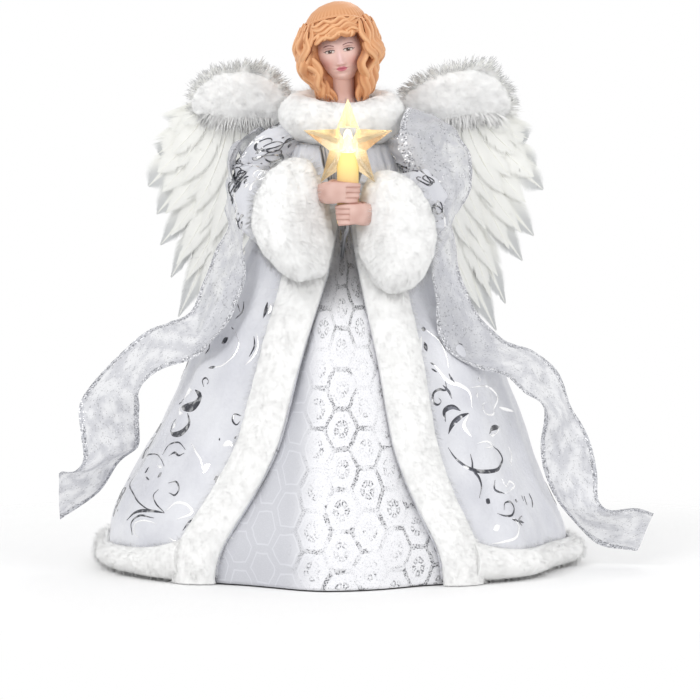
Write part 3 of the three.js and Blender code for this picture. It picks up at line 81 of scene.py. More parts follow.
class Wiring:  # short calls for adding and joining nodes
    def __init__(self, tree):
        self.tree = tree

    def feed(self, socket, value):
        if isinstance(value, bpy.types.NodeSocket):
            self.tree.links.new(value, socket)
        else:
            socket.default_value = value

    def add(self, kind, inputs=None, **settings):
        node = self.tree.nodes.new(kind)
        for key, value in settings.items():
            setattr(node, key, value)
        for key, value in (inputs or {}).items():
            self.feed(node.inputs[key], value)
        return node

    def calc(self, operation, *values, clamp=False):
        node = self.add("ShaderNodeMath", operation=operation, use_clamp=clamp)
        for socket, value in zip(node.inputs, values):
            self.feed(socket, value)
        return node.outputs[0]

    def times(self, first, second, clamp=False):
        return self.calc("MULTIPLY", first, second, clamp=clamp)

    def plus(self, first, second):
        return self.calc("ADD", first, second)

    def minus(self, first, second):
        return self.calc("SUBTRACT", first, second)

    def most(self, first, second):
        return self.calc("MAXIMUM", first, second)

    def absolute(self, value):
        return self.calc("ABSOLUTE", value)

    def sine(self, value):
        return self.calc("SINE", value)

    def vector(self, operation, *values, out=0):
        node = self.add("ShaderNodeVectorMath", operation=operation)
        for socket, value in zip(node.inputs, values):
            self.feed(socket, value)
        return node.outputs[out]

    def scaled(self, vector, share):
        node = self.add("ShaderNodeVectorMath", {0: vector}, operation="SCALE")
        self.feed(node.inputs["Scale"], share)
        return node.outputs[0]

    def parts(self, vector):
        return self.add("ShaderNodeSeparateXYZ", {0: vector}).outputs

    def cloud(self, where, scale, detail=2.0, rough=0.5, out="Fac"):
        wanted = {"Vector": where, "Scale": scale, "Detail": detail, "Roughness": rough}
        return self.add("ShaderNodeTexNoise", wanted).outputs[out]

    def length(self, vector):  # how long the vector is
        return self.vector("LENGTH", vector, out=1)

    def drift(self, where, scale, detail):  # a soft random direction for each place
        return self.vector("SUBTRACT", self.cloud(where, scale, detail, out="Color"), (0.5, 0.5, 0.5))

    def step(self, value, low, high):  # 0 below low, 1 above high, smooth between them
        wanted = {"Value": value, "From Min": low, "From Max": high}
        return self.add("ShaderNodeMapRange", wanted, interpolation_type="SMOOTHSTEP").outputs[0]


class Finish(Wiring):  # one material and the nodes that feed its shader
    def __init__(self, name, colour, rough=0.5, metal=0.0, **more):
        self.material = bpy.data.materials.new(name)
        self.material.use_nodes = True
        super().__init__(self.material.node_tree)
        self.shader = self.tree.nodes["Principled BSDF"]
        self.set("Base Color", (*tone(colour), 1.0))
        self.set("Roughness", rough)
        self.set("Metallic", metal)
        for key, value in more.items():
            self.set(key.replace("_", " "), value)

    def set(self, key, value):
        self.feed(self.shader.inputs[key], value)

    def place(self):
        return self.add("ShaderNodeTexCoord").outputs["Object"]

    def uv(self):
        return self.add("ShaderNodeUVMap", uv_map="cloth").outputs[0]

    def shade(self, share, first, second):  # first colour at 0, second at 1
        node = self.add("ShaderNodeMix", data_type="RGBA")
        self.feed(node.inputs[0], share)
        for slot, colour in ((6, first), (7, second)):
            self.feed(node.inputs[slot], (*tone(colour), 1.0) if isinstance(colour, str) else colour)
        return node.outputs[2]

    def mottle(self, first, second, scale, detail=2.0):
        share = self.step(self.cloud(self.place(), scale, detail), 0.3, 0.7)
        self.set("Base Color", self.shade(share, first, second))

    def relief(self, height, strength=0.4, depth=0.3):
        wanted = {"Height": height, "Strength": strength, "Distance": depth * mm}
        self.set("Normal", self.add("ShaderNodeBump", wanted).outputs[0])

    def grain(self, scale, strength=0.3, depth=0.1, detail=3.0):
        self.relief(self.cloud(self.place(), scale, detail), strength, depth)


def along(rows, place):  # a table of places and values, read with smooth slopes between its rows
    at, value = np.array(rows, float).T
    place = np.clip(np.asarray(place, float), at[0], at[-1])
    slope = np.gradient(value, 1)
    slope[1:-1] = (value[2:] - value[:-2]) / (at[2:] - at[:-2])
    slope[0] = (value[1] - value[0]) / (at[1] - at[0])
    slope[-1] = (value[-1] - value[-2]) / (at[-1] - at[-2])
    i = np.clip(np.searchsorted(at, place, side="right") - 1, 0, len(at) - 2)
    span = at[i + 1] - at[i]
    t = (place - at[i]) / span
    rise = value[i + 1] - value[i]
    bend = slope[i] * span - rise
    lift = -slope[i + 1] * span + rise
    return value[i] + rise * t + t * (1 - t) * (bend * (1 - t) + lift * t)


def turns(count):  # even turns all the way round
    return np.arange(count) / count * fullTurn


def withSeam(turn):  # the same turns and one more, where the cloth's pattern ends
    return np.concatenate([turn, turn[:1] + fullTurn])


def stacked(*parts):  # x, y and z, or the two pattern directions, as one array
    return np.stack(np.broadcast_arrays(*parts), -1)


def outAt(turn):  # the level direction away from the middle
    return stacked(np.sin(turn), -np.cos(turn), 0 * turn)


def smooth(share):
    share = np.clip(share, 0, 1)
    return share * share * (3 - 2 * share)


def bump(distance, spread):  # 1 at no distance, falling off on both sides
    return np.exp(-(distance / spread) ** 2)


def mix(first, second, share):
    return first + (second - first) * share


def point(x, y, z):
    return np.array([x, y, z], float)


def unit(vectors):
    return vectors / np.maximum(np.linalg.norm(vectors, axis=-1, keepdims=True), 1e-9)


def mirrored(points, side):
    return points * np.array([side, 1, 1])


def clouds(points, size, seed=0.0):  # soft random values, one for each point
    flat = np.asarray(points, float).reshape(-1, 3) / size
    shift = Vector((seed * 7.3, seed * 3.1, seed * 5.7))
    values = [noise.noise(Vector(p) + shift) for p in flat]
    return np.array(values).reshape(np.shape(points)[:-1])


def lumps(points, layers):  # each layer has the size of its lumps, a seed and a height in mm
    return sum(clouds(points, size, seed) * height for size, seed, height in layers)


class Curve:  # a smooth line through points, read by its share of the length
    def __init__(self, points):
        p = np.array(points, float)
        p = np.vstack([2 * p[0] - p[1], p, 2 * p[-1] - p[-2]])
        t = np.arange(32)[:, None] / 32
        rows = []
        for i in range(len(p) - 3):
            p0, p1, p2, p3 = p[i:i + 4]
            d0, d1, d2 = [max(np.linalg.norm(b - a) ** 0.5, 1e-4) for a, b in zip(p[i:i + 3], p[i + 1:i + 4])]
            t1 = ((p1 - p0) / d0 - (p2 - p0) / (d0 + d1) + (p2 - p1) / d1) * d1
            t2 = ((p2 - p1) / d1 - (p3 - p1) / (d1 + d2) + (p3 - p2) / d2) * d1
            c2 = -3 * p1 + 3 * p2 - 2 * t1 - t2
            c3 = 2 * p1 - 2 * p2 + t1 + t2
            rows.append(p1 + t1 * t + c2 * t ** 2 + c3 * t ** 3)
        self.line = np.vstack([*rows, p[-2:-1]])
        steps = np.linalg.norm(np.diff(self.line, axis=0), axis=1)
        self.far = np.concatenate([[0], np.cumsum(steps)])
        self.length = self.far[-1]
        self.raw = np.linspace(0, 1, len(self.line))

    def at(self, share):
        far = np.asarray(share, float) * self.length
        return np.stack([np.interp(far, self.far, self.line[:, k]) for k in range(3)], -1)

    def atRaw(self, share):
        return np.stack([np.interp(share, self.raw, self.line[:, k]) for k in range(3)], -1)

    def ahead(self, share, reach=0.01):
        share = np.asarray(share, float)
        return unit(self.at(np.clip(share + reach, 0, 1)) - self.at(np.clip(share - reach, 0, 1)))


def shadeSmooth(mesh):
    mesh.polygons.foreach_set("use_smooth", [True] * len(mesh.polygons))


def makeMesh(name, points, faces, finish=None, uv=None):
    mesh = bpy.data.meshes.new(name)
    faces = faces.tolist() if isinstance(faces, np.ndarray) else faces
    mesh.from_pydata((np.asarray(points, float) * mm).tolist(), [], faces)
    if uv is not None:
        mesh.uv_layers.new(name="cloth").data.foreach_set("uv", np.asarray(uv, float).reshape(-1))
    shadeSmooth(mesh)
    if finish:
        mesh.materials.append(finish.material)
    return addObject(name, mesh)


def placesOf(piece):  # its corners in mm
    return np.array([v.co for v in piece.data.vertices]) / mm


def bakedMesh(piece):  # a plain mesh with the modifiers' work in it
    return bpy.data.meshes.new_from_object(piece.evaluated_get(bpy.context.evaluated_depsgraph_get()))


def gridFaces(rows, columns, ringRows=False, ringColumns=False):
    index = np.arange(rows * columns).reshape(rows, columns)
    if ringRows:
        index = np.vstack([index, index[:1]])
    if ringColumns:
        index = np.hstack([index, index[:, :1]])
    return np.stack([index[:-1, :-1], index[1:, :-1], index[1:, 1:], index[:-1, 1:]], -1).reshape(-1, 4)


def gridMesh(name, grid, finish=None, uv=None, ringRows=False, ringColumns=False, flip=False):
    rows, columns = grid.shape[:2]
    faces = gridFaces(rows, columns, ringRows, ringColumns)
    corners = None
    if uv is not None:
        corners = np.stack([uv[:-1, :-1], uv[1:, :-1], uv[1:, 1:], uv[:-1, 1:]], 2).reshape(-1, 4, 2)
    if flip:
        faces = faces[:, ::-1]
        corners = None if corners is None else corners[:, ::-1]
    return makeMesh(name, grid.reshape(-1, 3), faces, finish, corners)


def thicken(piece, thickness, inward=True):
    solid = piece.modifiers.new("cloth thickness", "SOLIDIFY")
    solid.thickness = thickness * mm
    solid.offset = -1 if inward else 0
    solid.use_even_offset = True


def setAttribute(piece, name, values):
    data = piece.data.attributes.new(name, "FLOAT_VECTOR", "POINT")
    data.data.foreach_set("vector", np.asarray(values, float).reshape(-1))


def closedLoft(name, loops, finish=None):  # loops of points skinned one after another, ends capped
    rows, sides = loops.shape[:2]
    points = np.vstack([loops.reshape(-1, 3), loops[0].mean(0), loops[-1].mean(0)])
    faces = gridFaces(rows, sides, ringColumns=True).tolist()
    for j in range(sides):
        k = (j + 1) % sides
        faces.append([rows * sides, j, k])
        faces.append([rows * sides + 1, (rows - 1) * sides + k, (rows - 1) * sides + j])
    return makeMesh(name, points, faces, finish)


def tube(curve, radius, sides, steps):  # loops of a round tube along a curve
    share = np.linspace(0, 1, steps + 1)
    centre, ahead = curve.at(share), curve.ahead(share)
    normal = np.cross(ahead[0], point(0.31, 0.77, 0.55))
    turn = turns(sides)[:, None]
    loops = []
    for c, a in zip(centre, ahead):
        normal = unit(normal - a * normal.dot(a))
        side = np.cross(a, normal)
        loops.append(c + radius * (np.cos(turn) * normal + np.sin(turn) * side))
    return np.array(loops)


def mergeDoubles(mesh, faceOut=False):
    work = bmesh.new()
    work.from_mesh(mesh)
    bmesh.ops.remove_doubles(work, verts=work.verts, dist=1e-6)
    if faceOut:
        bmesh.ops.recalc_face_normals(work, faces=work.faces)
    work.to_mesh(mesh)
    work.free()


def outwards(piece):  # makes a closed mesh's faces point out
    mergeDoubles(piece.data, faceOut=True)
    return piece


def joinPieces(name, pieces):
    with bpy.context.temp_override(active_object=pieces[0], selected_editable_objects=pieces):
        bpy.ops.object.join()
    pieces[0].name = name
    return pieces[0]


# plush pile and down, grown by one set of nodes

def pileTree():
    tree = bpy.data.node_groups.new("plush pile", "GeometryNodeTree")
    inputs = {"Geometry": "Geometry", "Density": "Float", "Length": "Float", "Width": "Float",
              "Tuft Size": "Float", "Tuft Lean": "Float", "Spread": "Float", "Strand": "Object",
              "Pile": "Material", "Backing": "Material", "Seed": "Int"}
    for label, kind in inputs.items():
        tree.interface.new_socket(label, in_out="INPUT", socket_type="NodeSocket" + kind)
    tree.interface.new_socket("Geometry", in_out="OUTPUT", socket_type="NodeSocketGeometry")
    net = Wiring(tree)
    given = net.add("NodeGroupInput").outputs
    spread = net.add("GeometryNodeDistributePointsOnFaces", {
        "Mesh": given["Geometry"], "Density": given["Density"], "Seed": given["Seed"]})
    where = net.add("GeometryNodeInputPosition").outputs[0]
    perTuft = net.calc("DIVIDE", 1.0, given["Tuft Size"])
    tuft = net.drift(where, perTuft, 1.0)
    random = net.add("FunctionNodeRandomValue", {"Seed": given["Seed"]}, data_type="FLOAT_VECTOR")
    random.inputs[0].default_value = (-1, -1, -1)
    comb = net.add("GeometryNodeInputNamedAttribute", {"Name": "comb"}, data_type="FLOAT_VECTOR").outputs[0]
    lean = net.scaled(tuft, net.times(given["Tuft Lean"], 2.0))
    aim = net.vector("ADD", spread.outputs["Normal"], lean)
    aim = net.vector("ADD", aim, net.scaled(random.outputs[0], given["Spread"]))
    aim = net.vector("ADD", aim, comb)
    upright = net.add("FunctionNodeAlignRotationToVector", {"Vector": aim}, axis="Z").outputs[0]
    facing = net.add("FunctionNodeAlignRotationToVector", {
        "Rotation": upright, "Vector": spread.outputs["Normal"]}, axis="X", pivot_axis="Z").outputs[0]
    reach = net.add("FunctionNodeRandomValue", {"Seed": net.plus(given["Seed"], 11.0)}, data_type="FLOAT")
    reach.inputs[2].default_value, reach.inputs[3].default_value = 0.6, 1.1
    lump = net.plus(0.6, net.times(net.cloud(where, perTuft, 1.0), 0.8))
    length = net.times(given["Length"], net.times(reach.outputs[1], lump))
    size = net.add("ShaderNodeCombineXYZ", {0: length, 1: given["Width"], 2: length}).outputs[0]
    strand = net.add("GeometryNodeObjectInfo", {"Object": given["Strand"]}).outputs["Geometry"]
    marked = net.add("GeometryNodeStoreNamedAttribute", {
        "Geometry": spread.outputs["Points"], "Name": "soft", "Value": spread.outputs["Normal"]},
        data_type="FLOAT_VECTOR", domain="POINT").outputs[0]
    planted = net.add("GeometryNodeInstanceOnPoints", {
        "Points": marked, "Instance": strand, "Rotation": facing, "Scale": size}).outputs[0]
    real = net.add("GeometryNodeRealizeInstances", {0: planted}).outputs[0]
    pile = net.add("GeometryNodeSetMaterial", {"Geometry": real, "Material": given["Pile"]}).outputs[0]
    skin = net.add("GeometryNodeStoreNamedAttribute", {
        "Geometry": given["Geometry"], "Name": "soft",
        "Value": net.add("GeometryNodeInputNormal").outputs[0]},
        data_type="FLOAT_VECTOR", domain="POINT").outputs[0]
    backing = net.add("GeometryNodeSetMaterial", {"Geometry": skin, "Material": given["Backing"]}).outputs[0]
    both = net.add("GeometryNodeJoinGeometry")
    tree.links.new(pile, both.inputs[0])
    tree.links.new(backing, both.inputs[0])
    net.add("NodeGroupOutput", {0: both.outputs[0]})
    return tree


def strandMesh(name, curl, hairs=1, fan=0.0):  # tapered fibres a unit long and wide, bent back from one root
    outline = ((0, -0.5, 0), (0, 0.5, 0), (0.1, 0.36, 0.55), (0.1, -0.36, 0.55), (0.42, 0, 1))
    points, faces, reach = [], [], []
    rng = np.random.default_rng(5)
    for hair in range(hairs):
        lean = np.array([rng.uniform(-1, 1), rng.uniform(-1, 1)]) * fan * (hairs > 1)
        tall = rng.uniform(0.75, 1.0) if hairs > 1 else 1.0
        for back in (0, 1):
            for out, wide, up in outline:
                away = lean * up ** 1.3
                points.append([-out * curl + away[0] - 0.004 * back, wide + away[1] * 12, up * tall])
                reach.append(up)
            first = 10 * hair + 5 * back
            own = first + np.array([[0, 1, 2], [0, 2, 3], [3, 2, 4]])
            faces += (own[:, ::-1] if back else own).tolist()
    strand = makeMesh(name, np.array(points) / mm, faces)
    strand.data.attributes.new("reach", "FLOAT", "POINT").data.foreach_set("value", reach)
    strand.hide_render = strand.hide_viewport = True
    return strand


pile = pileTree()
fibre = strandMesh("fibre", 0.5)


def growPile(base, name, finish, comb, density, length, width, seed, tuftSize=6.0, tuftLean=0.5, spread=0.35,
             strand=fibre, facing=None):
    setAttribute(base, "comb", comb)
    wanted = {"Density": density * 1e6, "Length": length * mm, "Width": width * mm, "Seed": seed,
              "Tuft Size": tuftSize * mm, "Tuft Lean": tuftLean, "Spread": spread, "Strand": strand,
              "Pile": finish.material, "Backing": furBack.material}
    grow = base.modifiers.new("pile", "NODES")
    grow.node_group = pile
    for item in pile.interface.items_tree:
        if item.in_out == "INPUT" and item.name in wanted:
            grow[item.identifier] = wanted[item.name]
    mesh = bakedMesh(base)
    bpy.data.objects.remove(base)
    mesh.name = name
    soft = np.empty(len(mesh.vertices) * 3)
    mesh.attributes["soft"].data.foreach_get("vector", soft)
    for label in ("comb", "soft"):
        if label in mesh.attributes:
            mesh.attributes.remove(mesh.attributes[label])
    shadeSmooth(mesh)
    if facing is None:
        mesh.normals_split_custom_set_from_vertices(soft.reshape(-1, 3))
    else:  # barbs that stand every way are lit as one soft front and back
        flat = np.empty(len(mesh.polygons) * 3)
        mesh.polygons.foreach_get("normal", flat)
        front = np.sign(flat.reshape(-1, 3) @ facing)[:, None] * facing
        counts = np.empty(len(mesh.polygons), int)
        mesh.polygons.foreach_get("loop_total", counts)
        mesh.normals_split_custom_set(np.repeat(unit(front + [0, 0, 0.35]), counts, 0).tolist())
    print("  ", name, len(mesh.polygons), "faces")
    return addObject(name, mesh)


# finishes

def furFinish(name, light, dark):
    plush = Finish(name, light, 0.95, Sheen_Weight=0.15, Sheen_Roughness=0.6)
    plush.mottle(dark, light, 110.0)
    plush.relief(plush.cloud(plush.place(), 1100.0, 3.0, 0.6), 0.5, 0.3)
    return plush


def tintedFinish(name, colour, rough, scale, strength, depth):  # shows the mesh's own tint
    moulded = Finish(name, colour, rough)
    moulded.set("Base Color", moulded.add("ShaderNodeAttribute", attribute_name="tint").outputs["Color"])
    moulded.grain(scale, strength, depth)
    return moulded


fur = furFinish("white plush", "fdfdfc", "f5f5f4")
# painted shade: the backing under the pile is a touch darker than the pile itself
furBack = furFinish("plush backing", "fbfbfa", "f3f3f2")


def downFinish():  # white down whose hairs end in grey tips along the wing's upper edge
    hairs = Finish("white down", "fafaf6", 0.9)
    reach = hairs.add("ShaderNodeAttribute", attribute_name="reach").outputs["Fac"]
    upper = hairs.step(hairs.parts(hairs.place())[2], 0.227, 0.24)
    tip = hairs.times(hairs.step(reach, 0.52, 1.0), upper)
    hairs.set("Base Color", hairs.shade(tip, "f8f8f5", "a2a3a6"))
    return hairs


down = downFinish()


def satinFinish(name, light, dark):
    satin = Finish(name, light, 0.34, Sheen_Weight=0.15, Sheen_Roughness=0.4)
    height = satin.parts(satin.place())[2]
    share = satin.step(satin.cloud(satin.place(), 40.0, 3.0), 0.3, 0.7)
    satin.set("Base Color", satin.shade(share, dark, light))
    thread = satin.sine(satin.times(height, fullTurn / (0.35 * mm)))
    crumple = satin.times(satin.cloud(satin.place(), 130.0, 4.0, 0.6), 6.0)
    satin.relief(satin.plus(satin.times(thread, 0.08), crumple), 0.6, 0.35)
    return satin


satin = satinFinish("pale satin", "dfe0e5", "d0d1d8")


def foilFinish():  # silver foil with painted reflections, darker or brighter by each stroke's own value
    foil = Finish("silver foil", "dfe0e4", 0.2, 0.9)
    value = foil.parts(foil.uv())[0]
    reflectionPatch = foil.step(foil.cloud(foil.place(), 260.0, 3.0), 0.4, 0.6)
    own = foil.step(foil.plus(value, foil.times(reflectionPatch, 0.5)), 0.2, 0.95)
    # painted reflections: dark grey or near white by the stroke's value and soft patches, standing for what
    # the foil mirrors
    foil.set("Base Color", foil.shade(own, "505157", "ffffff"))
    foil.relief(foil.cloud(foil.place(), 700.0, 3.0), 0.6, 0.25)
    return foil


foil = foilFinish()

# paintedLightFrom to paintedLightTo: mm across the skirt over which the painted light comes in
weave = {"hexHigh": 19.5, "columnApart": 12.7, "paintedLightFrom": -27.0, "paintedLightTo": -8.0}


def brocadeFinish():  # flat-topped hexagons of glittering net, each round a ring of five petals
    cloth = Finish("hexagon brocade", "f0f0f3", 0.5, Sheen_Weight=0.2, Sheen_Roughness=0.4)
    uv = cloth.uv()  # millimetres across the skirt and up it
    drift = cloth.drift(uv, 0.09, 2.0)
    uv = cloth.vector("ADD", uv, cloth.scaled(drift, 3.4))
    high = math.sqrt(3)
    across, up, _ = cloth.parts(uv)
    cell = cloth.add("ShaderNodeCombineXYZ", {
        0: cloth.times(up, 1 / weave["hexHigh"]),
        1: cloth.times(across, high / (2 * weave["columnApart"]))}).outputs[0]
    half = (0.5, high / 2, 0.5)
    low = tuple(-h for h in half)
    near = cloth.vector("WRAP", cell, half, low)
    far = cloth.vector("WRAP", cloth.vector("ADD", cell, (0.5, high / 2, 0.0)), half, low)
    nearest = cloth.calc("LESS_THAN", cloth.length(near), cloth.length(far))
    pick = cloth.add("ShaderNodeMix", {0: nearest}, data_type="VECTOR")
    cloth.feed(pick.inputs[4], far)
    cloth.feed(pick.inputs[5], near)
    here = pick.outputs[1]
    x, y, _ = cloth.parts(here)
    sideways, upright = cloth.absolute(x), cloth.absolute(y)
    slant = cloth.plus(cloth.times(sideways, 0.5), cloth.times(upright, high / 2))
    edge = cloth.most(sideways, slant)
    border = cloth.step(edge, 0.425, 0.45)
    rim = cloth.times(cloth.step(edge, 0.36, 0.38), cloth.step(edge, 0.42, 0.4))
    turn = cloth.calc("ARCTAN2", y, x)
    away = cloth.length(here)
    petal = cloth.absolute(cloth.sine(cloth.times(turn, 2.5)))
    ring = cloth.absolute(cloth.minus(away, 0.17))
    blob = cloth.times(cloth.step(ring, 0.085, 0.06), cloth.step(petal, 0.25, 0.45))
    hole = cloth.step(ring, 0.02, 0.04)
    flower = cloth.times(blob, cloth.most(hole, cloth.step(petal, 0.95, 0.8)))
    fine = cloth.add("ShaderNodeTexVoronoi", {"Vector": uv, "Scale": 1.35}, feature="F1").outputs["Distance"]
    knots = cloth.step(fine, 0.5, 0.3)
    patchy = cloth.step(cloth.cloud(cloth.vector("MULTIPLY", uv, (0.034, 0.02, 1.0)), 1.0, 1.0), 0.4, 0.56)
    # painted light: the silver net and its glitter show only right of a fold that catches the light; left of
    # it the cloth is painted in shade
    lit = cloth.step(across, weave["paintedLightFrom"], weave["paintedLightTo"])
    silver = cloth.times(cloth.most(border, flower), lit)
    silver = cloth.times(silver, cloth.plus(0.12, cloth.times(patchy, 0.88)))
    silver = cloth.times(silver, cloth.plus(0.3, cloth.times(knots, 0.9)), clamp=True)
    litGlitter = cloth.step(cloth.cloud(uv, 0.9, 3.0), 0.62, 0.72)
    litGlitter = cloth.times(cloth.times(litGlitter, lit), 0.45)
    silver = cloth.most(silver, litGlitter)
    cloth.set("Metallic", cloth.times(silver, 0.6))
    cloth.set("Roughness", cloth.minus(0.55, cloth.times(silver, 0.25)))
    # bright is the cloth in painted light, shaded the same cloth in painted shade
    bright = cloth.shade(cloth.times(knots, 0.5), "eeeef1", "d6d7dc")
    shaded = cloth.shade(cloth.most(rim, cloth.times(knots, 0.3)), "c6c7cd", "d3d4da")
    plain = cloth.shade(lit, shaded, bright)
    cloth.set("Base Color", cloth.shade(silver, plain, "5e5f64"))
    net = cloth.plus(silver, cloth.times(fine, -0.6))
    cloth.relief(net, 0.5, 0.25)
    return cloth


brocade = brocadeFinish()


ribbonCut = {"width": 38.0, "ripple": 0.9, "crush": 2.6, "folds": 1.5, "puff": 5.5}


def organzaFinish():
    veil = Finish("silver organza", "cfd0d4", 0.5, 0.1)
    uv = veil.uv()  # millimetres along the ribbon and across it
    x, y, _ = veil.parts(uv)
    sway = veil.times(veil.cloud(uv, 0.05, 1.0), 30.0)
    swirl = veil.absolute(veil.sine(veil.plus(veil.times(x, 0.08), sway)))
    scroll = veil.step(swirl, 0.2, 0.08)
    fromEdge = veil.minus(ribbonCut["width"] / 2, veil.absolute(y))
    hem = veil.step(fromEdge, 4.2, 3.0)
    glitter = veil.add("ShaderNodeTexVoronoi", {"Vector": uv, "Scale": 1.1}, feature="F1")
    spark = veil.step(glitter.outputs["Distance"], 0.55, 0.4)
    bright, rare, _ = veil.parts(glitter.outputs["Color"])
    mark = veil.most(veil.times(scroll, 0.6), hem)
    mark = veil.most(mark, veil.times(veil.step(rare, 0.78, 0.86), 0.6))
    silver = veil.times(mark, spark, clamp=True)
    cloudy = veil.step(veil.cloud(uv, 0.11, 4.0), 0.38, 0.62)
    body = veil.plus(0.62, veil.times(cloudy, 0.22))
    veil.set("Alpha", veil.most(body, mark))
    veil.set("Metallic", veil.times(silver, 0.35))
    veil.set("Roughness", veil.minus(0.5, veil.times(silver, 0.2)))
    # painted glints: each glitter speck is coloured dark grey or near white
    spot = veil.shade(veil.step(bright, 0.55, 0.75), "818287", "f4f4f6")
    cloth = veil.shade(cloudy, "dcdde1", "c2c3c9")
    cloth = veil.shade(veil.times(mark, 0.5), cloth, "b4b5ba")
    veil.set("Base Color", veil.shade(silver, cloth, spot))
    return veil


organza = organzaFinish()
print("stage: finishes")

# the robe's surface, which the underskirt, trims and foil all follow

robeCut = {
    "hemRadius": 117.0, "height": 216.5, "hemLift": 3.0, "foldDepth": 3.6, "thickness": 1.2,
    "radius": [[0, 1], [0.1, 0.99], [0.245, 0.86], [0.4, 0.735], [0.508, 0.66], [0.628, 0.545], [0.74, 0.44],
               [0.831, 0.345], [0.878, 0.3], [0.947, 0.25], [1, 0.215]],
    "depth": [[0, 1], [0.5, 1], [0.72, 0.95], [0.86, 0.86], [1, 0.7]],
    "foldGrow": [[0, 1], [0.35, 0.8], [0.7, 0.35], [1, 0.1]],
    "openingDeg": [[0, 35.5], [0.06, 34.5], [0.19, 29.5], [0.31, 25.6], [0.41, 24.5], [0.57, 22.7],
                   [0.78, 20.5], [0.86, 24], [0.93, 40], [1, 58]],
    "openingTurnDeg": [[0, -3.6], [0.31, -1.9], [0.57, -0.5], [0.78, 1.5], [0.86, 2], [1, 2]],
    "trimWidth": 27.0, "trimDome": 7.5 * 0.84, "trimTop": 0.86, "trimFoot": 1.5,
    "hemBand": 15.0, "hemDome": 7.2, "hemJoin": 9.0,
    "lean": 5.0, "leanGrow": [[0, 0.6], [0.12, 1], [0.2, 0.95], [0.32, 0.35], [0.45, 0]],
}


def robeFold(turn, share):  # upright folds, deepest at the hem
    wave = 0.62 * np.cos(7 * turn + 0.9) + 0.38 * np.cos(11 * turn + 2.1)
    return robeCut["foldDepth"] * wave * along(robeCut["foldGrow"], share)


def robeAcross(height):  # the robe's radius before its folds
    return robeCut["hemRadius"] * along(robeCut["radius"], np.asarray(height) / robeCut["height"])


def robePoint(turn, height, offset=0.0):
    turn, height, offset = np.broadcast_arrays(*[np.asarray(v, float) for v in (turn, height, offset)])
    share = height / robeCut["height"]
    fuller = robeCut["lean"] * along(robeCut["leanGrow"], share) * np.sin(turn)  # it hangs fuller to one side
    radius = robeAcross(height) + robeFold(turn, share) + offset - fuller
    depth = along(robeCut["depth"], share)
    return np.stack([radius * np.sin(turn), -radius * np.cos(turn) * depth, height], -1)


def trimMiddle(side, height):
    share = height / robeCut["height"]
    spread = np.radians(along(robeCut["openingDeg"], share))
    return np.radians(along(robeCut["openingTurnDeg"], share)) + side * spread


def turnAcross(width, height):  # the turn that a width takes up on the robe
    return width / robeAcross(height)


def robeSkin(turn, height, lift=0.0):  # the satin's outer face, with its creases
    turn, height = np.broadcast_arrays(np.asarray(turn, float), np.asarray(height, float))
    level = height / robeCut["height"]
    crease = 0.5 * np.sin(23 * turn + 3 * level) + 0.33 * np.sin(37 * turn - 4 * level + 1)
    grid = robePoint(turn, height, robeCut["thickness"] / 2 + crease * (1 - 0.4 * level) + lift)
    return grid + unit(grid * [1, 1, 0]) * (clouds(grid, 17.0, 1)[..., None] * 1.1)


def makeRobe():
    height = np.linspace(robeCut["hemLift"], robeCut["height"], 110)[None, :]
    share = np.linspace(0, 1, 330)[:, None]
    inset = turnAcross(robeCut["trimWidth"] / 2, height) * 0.9
    turn = mix(trimMiddle(1, height) - inset, fullTurn + trimMiddle(-1, height) + inset, share)
    uv = stacked(turn * robeCut["hemRadius"], height)
    piece = gridMesh("robe_satin", robeSkin(turn, height), satin, uv)
    thicken(piece, robeCut["thickness"])
    return piece


skirtCut = {
    "foot": 0.4, "waist": 178.0, "gap": 4.4, "bulge": 14.0, "halfCloth": 0.6, "thickness": 0.8,
    "pleatDepth": 3.4, "pleatMost": 1.6, "patternRadius": 112.0, "gatherFrom": 0.74,
    "coneMouth": 92.0, "coneTip": 15.0, "coneHeight": 186.0, "coneWall": 1.2,
}


def makeUnderskirt():
    waist = skirtCut["waist"]
    height = np.linspace(skirtCut["foot"], waist, 100)[None, :]
    turn = (turns(420) - math.pi)[:, None]
    grid = robePoint(turn, height, skirtCut["halfCloth"] - skirtCut["gap"])
    out = outAt(turn)
    level = height / waist
    front = bump(turn, 0.36) * (1 - level)
    pleat = skirtCut["pleatDepth"] * bump(turn, 0.9) * np.sin(9.5 * turn + 1.1) * (1 - 0.35 * level)
    fine = 0.8 * np.sin(31 * turn + 2 * level) * (0.3 + level)
    swell = skirtCut["bulge"] * front + np.minimum(pleat, skirtCut["pleatMost"]) + fine * 0.6
    grid = grid + out * swell[..., None]
    gather = smooth((level - skirtCut["gatherFrom"]) / (1 - skirtCut["gatherFrom"]))[..., None]
    slope = (skirtCut["coneTip"] - skirtCut["coneMouth"]) / skirtCut["coneHeight"]
    radius = skirtCut["coneMouth"] + slope * waist + skirtCut["halfCloth"] + skirtCut["coneWall"]
    ringed = stacked(np.sin(turn) * radius, -np.cos(turn) * radius, height)
    grid = mix(grid, ringed + out * 0.6 * np.sin(47 * turn)[..., None], gather)
    uv = stacked(withSeam(turn) * skirtCut["patternRadius"] * (1 - 0.25 * level), height)
    piece = gridMesh("underskirt_brocade", grid, brocade, uv, ringRows=True)
    thicken(piece, skirtCut["thickness"])
    return piece


robePiece = makeRobe()
skirtPiece = makeUnderskirt()
print("stage: robe and underskirt")
